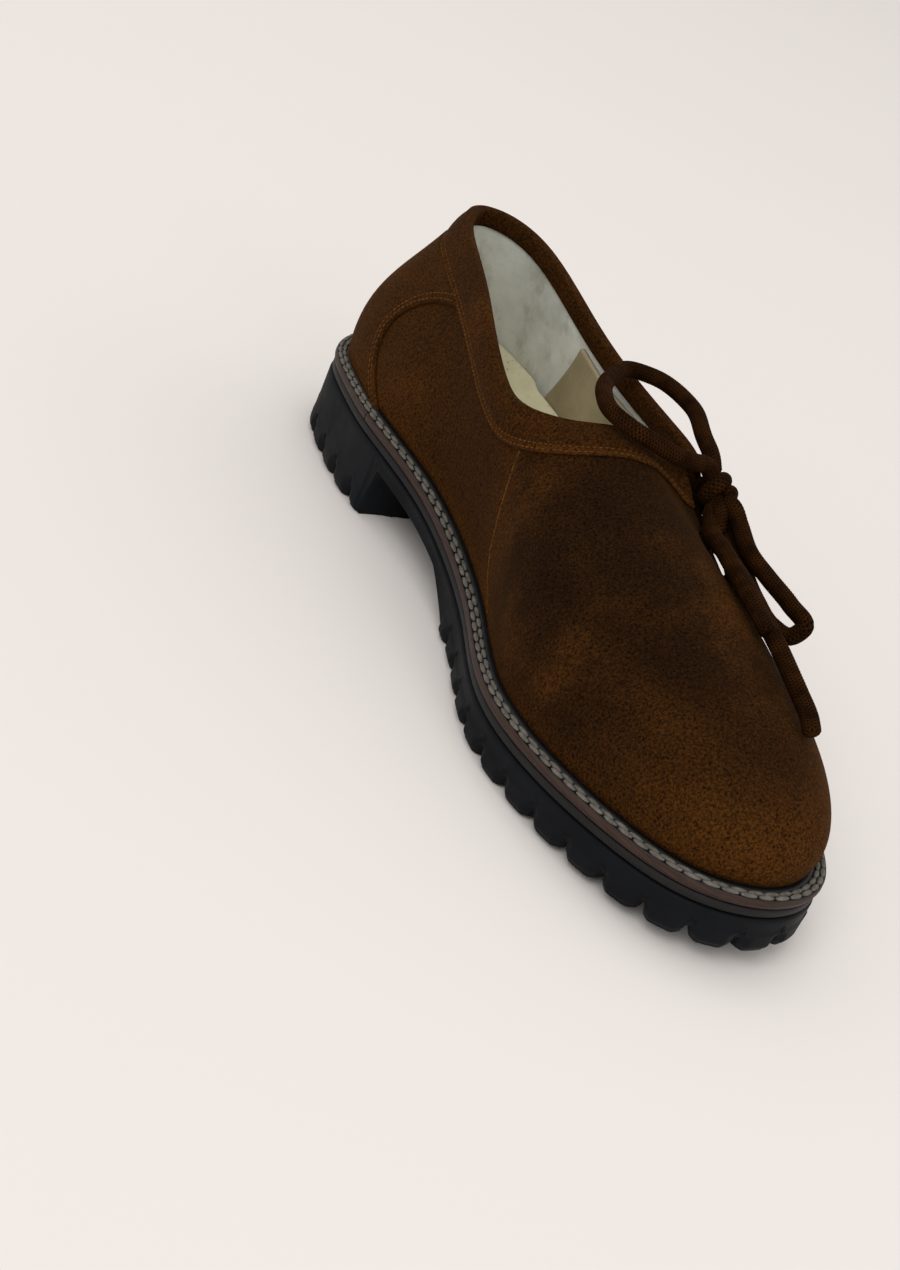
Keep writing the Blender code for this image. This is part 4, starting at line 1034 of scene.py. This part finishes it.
for share in HOLE_ROWS:
    for front in (True, False):
        point, normal = slit_frame(share, hole_side(share, front))
        turned = normal.to_track_quat("Z", "Y").to_matrix().to_4x4()
        bmesh.ops.create_cone(
            punches, cap_ends=True, segments=32, radius1=HOLE_DIAMETER / 2, radius2=HOLE_DIAMETER / 2,
            depth=4 * UPPER_WALL, matrix=Matrix.Translation(point - normal * UPPER_WALL / 2) @ turned,
        )
punch_object = punch("hole_punches", punches)
cut_through(upper, knife_object)
cut_through(upper, punch_object)


def settle(made):
    """Applies a piece's modifiers to its mesh."""
    shown = made.evaluated_get(bpy.context.evaluated_depsgraph_get())
    made.data = bpy.data.meshes.new_from_object(shown)
    made.modifiers.clear()
    return made


settle(upper)
for cutter in (knife_object, punch_object):
    bpy.data.objects.remove(cutter)
print("upper after the cuts:", len(upper.data.polygons), "faces")

# %% [markdown]
# ## The heel counter
# A second layer of suede wraps the heel. Its front edge curves up from the welt and then forward, and runs out under
# the collar band. Two rows of fine stitches follow that edge.

# %% Heel counter
COUNTER_EDGE = np.array([
    # share of the way up to the collar band, and length along the outline as a share of the shoe's
    (0.00, 0.212), (0.09, 0.185), (0.20, 0.164), (0.36, 0.152), (0.53, 0.156), (0.70, 0.172), (0.84, 0.196),
    (1.00, 0.240),
])


def counter_ends(way):
    """The keys of the counter's outer and inner edges at a share of the way up."""
    along = open_curve(COUNTER_EDGE[:, 1:], COUNTER_EDGE[:, 0], way)[:, 0] * LENGTH
    return key_at(along, True) - 1.0, key_at(along, False)


def counter_share(keys, way):
    return way * share_below_rim(keys, BAND_WIDTH - 0.001)


def counter_form(u, v):
    outer, inner = counter_ends(v)
    keys = outer + (inner - outer) * u
    edge = np.minimum(u, 1 - u) * (inner - outer) * RUN[-1]
    return off_wall(keys, counter_share(keys, v), 0.0012 * np.sqrt(np.clip(edge / 0.0012, 0.02, 1)) + 0.0002)


# The counter's nap is painted lighter, most at its foot: worn nap and painted highlight.
counter_mesh = laid_grid(
    "suede_counter", 260, 60, counter_form, brushed=lambda u, v: 0.50 + 0.35 * np.exp(-((v / 0.12) ** 2))
)
counter = finish_piece("suede_counter", counter_mesh, [SUEDE], "dark brown suede", "heel_counter")
add_solid(counter, 0.0011, -1)

# %% [markdown]
# The seams of the upper are fine tan thread: two rows along the counter's edge, and one row down the side seam.

# %% Helper: a seam that follows a line on the wall
def wall_seam(keys, shares, distance, pitch, shift=0.0):
    """Stitch places a pitch apart along a line of (key, share) on the upper."""
    line = off_wall(keys, shares, distance)
    run = run_of(line)
    at = (np.arange(int(run[-1] / pitch) - 1) + 0.5 + shift) * pitch
    points = np.stack([np.interp(at, run, line[:, axis]) for axis in range(3)], axis=1)
    after = np.stack([np.interp(at + 0.0003, run, line[:, axis]) for axis in range(3)], axis=1)
    normals = wall_normal(np.interp(at, run, keys), np.interp(at, run, shares))
    return [(a, b - a, n) for a, b, n in zip(points, after, normals)]


# %% Stitches of the counter and the side seam
def counter_seam(setback):
    """Places of one row of stitches, set back from the counter's two edges."""
    places = []
    ways = np.linspace(0.015, 0.985, 160)
    for side in (1, -1):
        keys = counter_ends(ways)[0 if side < 0 else 1]
        shares = counter_share(keys, ways)
        inward = np.cross(wall_normal(keys, shares), np.gradient(off_wall(keys, shares, 0.0), axis=0))
        step = inward / np.linalg.norm(inward, axis=1)[:, None] * side * setback
        round_it = (wall(keys + 1e-3, shares) - wall(keys - 1e-3, shares)) / 2e-3
        up_it = (wall(keys, shares + 1e-3) - wall(keys, shares - 1e-3)) / 2e-3
        keys = keys + np.sum(step * round_it, axis=1) / np.sum(round_it**2, axis=1)
        shares = shares + np.sum(step * up_it, axis=1) / np.sum(up_it**2, axis=1)
        places += wall_seam(keys, np.clip(shares, 0, 1), 0.0014, 0.0021)
    return places


def seam_stitches(name, places, length, width, height):
    stitches(name, places, length, width, height, SEAM_THREAD, "dark brown suede", 6)


seam_stitches("counter_stitching", counter_seam(0.0016) + counter_seam(0.0036), 0.0016, 0.0006, 0.0006)
seam_shares = np.linspace(0.02, 0.80, 120)
seam_keys = np.interp(seam_shares, SEAM_SHARES, SEAM_KEYS)
seam_stitches("side_seam_stitching", wall_seam(seam_keys, seam_shares, 0.0, 0.0012), 0.0014, 0.0007, 0.0006)

# %% [markdown]
# ## The collar band
# A strip of suede is folded over the collar's rim, over a thin pad, and sewn through with two rows of stitches. It
# runs from one edge of the lacing slit round the heel to the other.

# %% Collar band
slit_width = np.linalg.norm(wall(SLIT_KEY + 1e-3, 0.95) - wall(SLIT_KEY - 1e-3, 0.95)) / 2e-3
BAND_START = SLIT_KEY + (SLIT_TOP / 2 + 0.0003) / slit_width
BAND_END = SLIT_KEY + 1.0 - (SLIT_TOP / 2 + 0.0003) / slit_width
BAND_PROFILE = np.array([
    # length below the rim (outside), and distance off the wall
    (0.0130, 0.0003), (0.0129, 0.0008), (0.0125, 0.0011), (0.0119, 0.0010), (0.0110, 0.0012), (0.0101, 0.0010),
    (0.0092, 0.0014), (0.0074, 0.0017), (0.0050, 0.0018), (0.0030, 0.0016), (0.0014, 0.0012),
])
BAND_OVER = [(math.cos(a), math.sin(a)) for a in np.linspace(0.25, math.pi - 0.25, 7)]
BAND_INSIDE = np.array([(0.0014, -0.0032), (0.0030, -0.0034), (0.0048, -0.0033), (0.0058, -0.0030), (0.0060, -0.0025)])


def band_form(u, v):
    keys = BAND_START + (BAND_END - BAND_START) * u
    outer, over = len(BAND_PROFILE), len(BAND_OVER)
    row = np.round(v * BAND_ROWS).astype(int)
    points = np.zeros((len(u), 3))
    for i in range(BAND_ROWS + 1):
        here = row == i
        at = keys[here]
        if outer <= i < outer + over:
            across, up = BAND_OVER[i - outer]
            rise = wall(at, 1.0) - wall(at, share_below_rim(at, 0.003))
            rise = rise / np.linalg.norm(rise, axis=1)[:, None] * (0.0010 * up - 0.0001)
            points[here] = off_wall(at, 1.0, -0.0010 + 0.0021 * across) + rise
        else:
            down, off = BAND_PROFILE[i] if i < outer else BAND_INSIDE[i - outer - over]
            points[here] = off_wall(at, share_below_rim(at, down), off)
    return points


BAND_ROWS = len(BAND_PROFILE) + len(BAND_OVER) + len(BAND_INSIDE) - 1
# The band's nap is painted lighter, most along its lower edge: worn nap and painted highlight.
band_mesh = laid_grid(
    "suede_collar_band", 520, BAND_ROWS, band_form, brushed=lambda u, v: 0.42 + 0.35 * (v < 0.2)
)
band = finish_piece("suede_collar_band", band_mesh, [SUEDE], "dark brown suede", "collar_band")
add_solid(band, 0.0007, -1)
band_keys = np.linspace(BAND_START + 0.004, BAND_END - 0.004, 500)
band_places = []
for down, shift in ((0.0119, 0.0), (0.0101, 0.5)):
    band_places += wall_seam(band_keys, share_below_rim(band_keys, down), 0.0010, 0.0019, shift)
seam_stitches("collar_stitching", band_places, 0.0013, 0.0006, 0.0005)

# %% [markdown]
# ## The tongue
# Behind the slit hangs a soft tongue of beige leather. It is a sheet close under the wall at its edges, with room for
# the lace between it and the wall in the middle.

# %% Tongue
def tongue_form(u, v):
    start, end = key_at(0.750 * LENGTH, True), key_at(0.240 * LENGTH, True)
    keys = start + (end - start) * u
    top = share_below_rim(keys, 0.0075)
    room = 1 - smooth_step(0.036, 0.066, np.abs(keys - SLIT_KEY))
    close, pocket = 0.0028, 0.0022 + LACE_BEND + LACE_DIAMETER / 2 + 0.0006
    wave = 0.0006 * np.sin(u * 17.0) * v
    distance = -(close + (pocket - close) * room * smooth_step(0.0, 0.2, v)) - wave - 0.0006
    return off_wall(keys, 0.14 + (top - 0.14) * v, distance)


tongue_mesh = laid_grid("beige_tongue", 160, 40, tongue_form)
tongue = finish_piece("beige_tongue", tongue_mesh, [BEIGE], "beige tongue leather", "tongue")
add_solid(tongue, 0.0018, -1)


# %% [markdown]
# ## The lacing
# The lace goes down through one hole, turns under the leather and comes up through the next. Each turn is a quarter
# circle, so the braid passes the hole's edge without touching it, and both ends rise to the knot.

# %% Lace through the holes
def lace_bend(hole, normal, towards, outside):
    """Points of the lace's turn from a hole's middle to its run along the wall."""
    out = normal if outside else -normal
    start = hole if outside else hole - normal * UPPER_WALL
    if towards is None:
        return [start, start + out * LACE_STUB]
    flat = towards - hole
    flat = (flat - normal * flat.dot(normal)).normalized()
    return [
        start + out * (LACE_BEND * math.sin(angle)) + flat * (LACE_BEND * (1 - math.cos(angle)))
        for angle in np.linspace(0, math.pi / 2, 6)
    ]


top, middle_row, low = HOLE_ROWS
LACE_WAY = [
    (top, False, False), (middle_row, False, True), (middle_row, True, False), (low, True, True),
    (low, False, False), (top, True, True),
]
holes = [slit_frame(share, hole_side(share, front)) for share, front, _ in LACE_WAY]
bar_points = []
for i, (hole, normal) in enumerate(holes):
    outside = LACE_WAY[i][2]
    before = holes[i - 1][0] if i > 0 else None
    after = holes[i + 1][0] if i + 1 < len(holes) else None
    bar_points += list(reversed(lace_bend(hole, normal, before, not outside)))
    bar_points += lace_bend(hole, normal, after, outside)
for end in (0, -1):
    hole, normal = holes[end]
    lifted = hole + normal * 0.0045
    rise = [lifted.lerp(KNOT_CENTRE, 0.45) + normal * 0.0012, KNOT_CENTRE - normal * 0.0015]
    bar_points = list(reversed(rise)) + bar_points if end == 0 else bar_points + rise
bars, _ = braided_cord("laced_bars", [tuple(point) for point in bar_points], LACE_DIAMETER)
finish_piece("laced_bars", bars, [BRAID], "dark brown lace", "lace_bars")

# %% [markdown]
# ## Floor and light
# The photograph has a warm white ground. A pale floor with the same tone takes the shoe's shadow, and a bright, even
# world lights it from all round.

# %% Floor and world
floor_mesh = bmesh.new()
bmesh.ops.create_grid(floor_mesh, x_segments=1, y_segments=1, size=6.0)
bmesh.ops.translate(floor_mesh, verts=floor_mesh.verts, vec=(0, 0, float(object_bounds()[0][2])))
floor = new_object("floor", new_mesh("floor", floor_mesh, smooth=False))
pale = Finish("pale floor", Roughness=0.9, Specular_IOR_Level=0.1)
pale.colour(pale.clouds(0.5, 3.0, (0.3, (0.84, 0.81, 0.785)), (0.7, (0.85, 0.82, 0.795))))
floor.data.materials.append(pale.material)
world = bpy.data.worlds.new("room")
world.use_nodes = True
world.node_tree.nodes["Background"].inputs["Color"].default_value = (0.92, 0.885, 0.86, 1.0)
world.node_tree.nodes["Background"].inputs["Strength"].default_value = 0.72
scene.world = world


# %% [markdown]
# Three large lamps far away give soft shadows and light the floor evenly: a key from the left, a weaker one from the
# toe, and one from above.

# %% Lamps
MIDDLE = Vector((0, -0.05, 0.04))
for name, spot, aim, size, power, colour in (
    ("key", (-2.7, -1.5, 3.6), MIDDLE, 2.7, 68.0, (1.0, 0.98, 0.96)),
    ("front", (-0.6, -4.2, 2.4), MIDDLE, 2.7, 30.0, (1.0, 0.98, 0.96)),
    ("top", (0.3, 0.9, 4.5), Vector((0, 0, 0.04)), 3.0, 24.0, (1.0, 1.0, 1.0)),
):
    data = bpy.data.lights.new(name, "AREA")
    data.energy, data.size, data.color = power, size, colour
    lamp = new_object(name, data)
    lamp.location = spot
    lamp.rotation_euler = (aim - Vector(spot)).to_track_quat("-Z", "Y").to_euler()
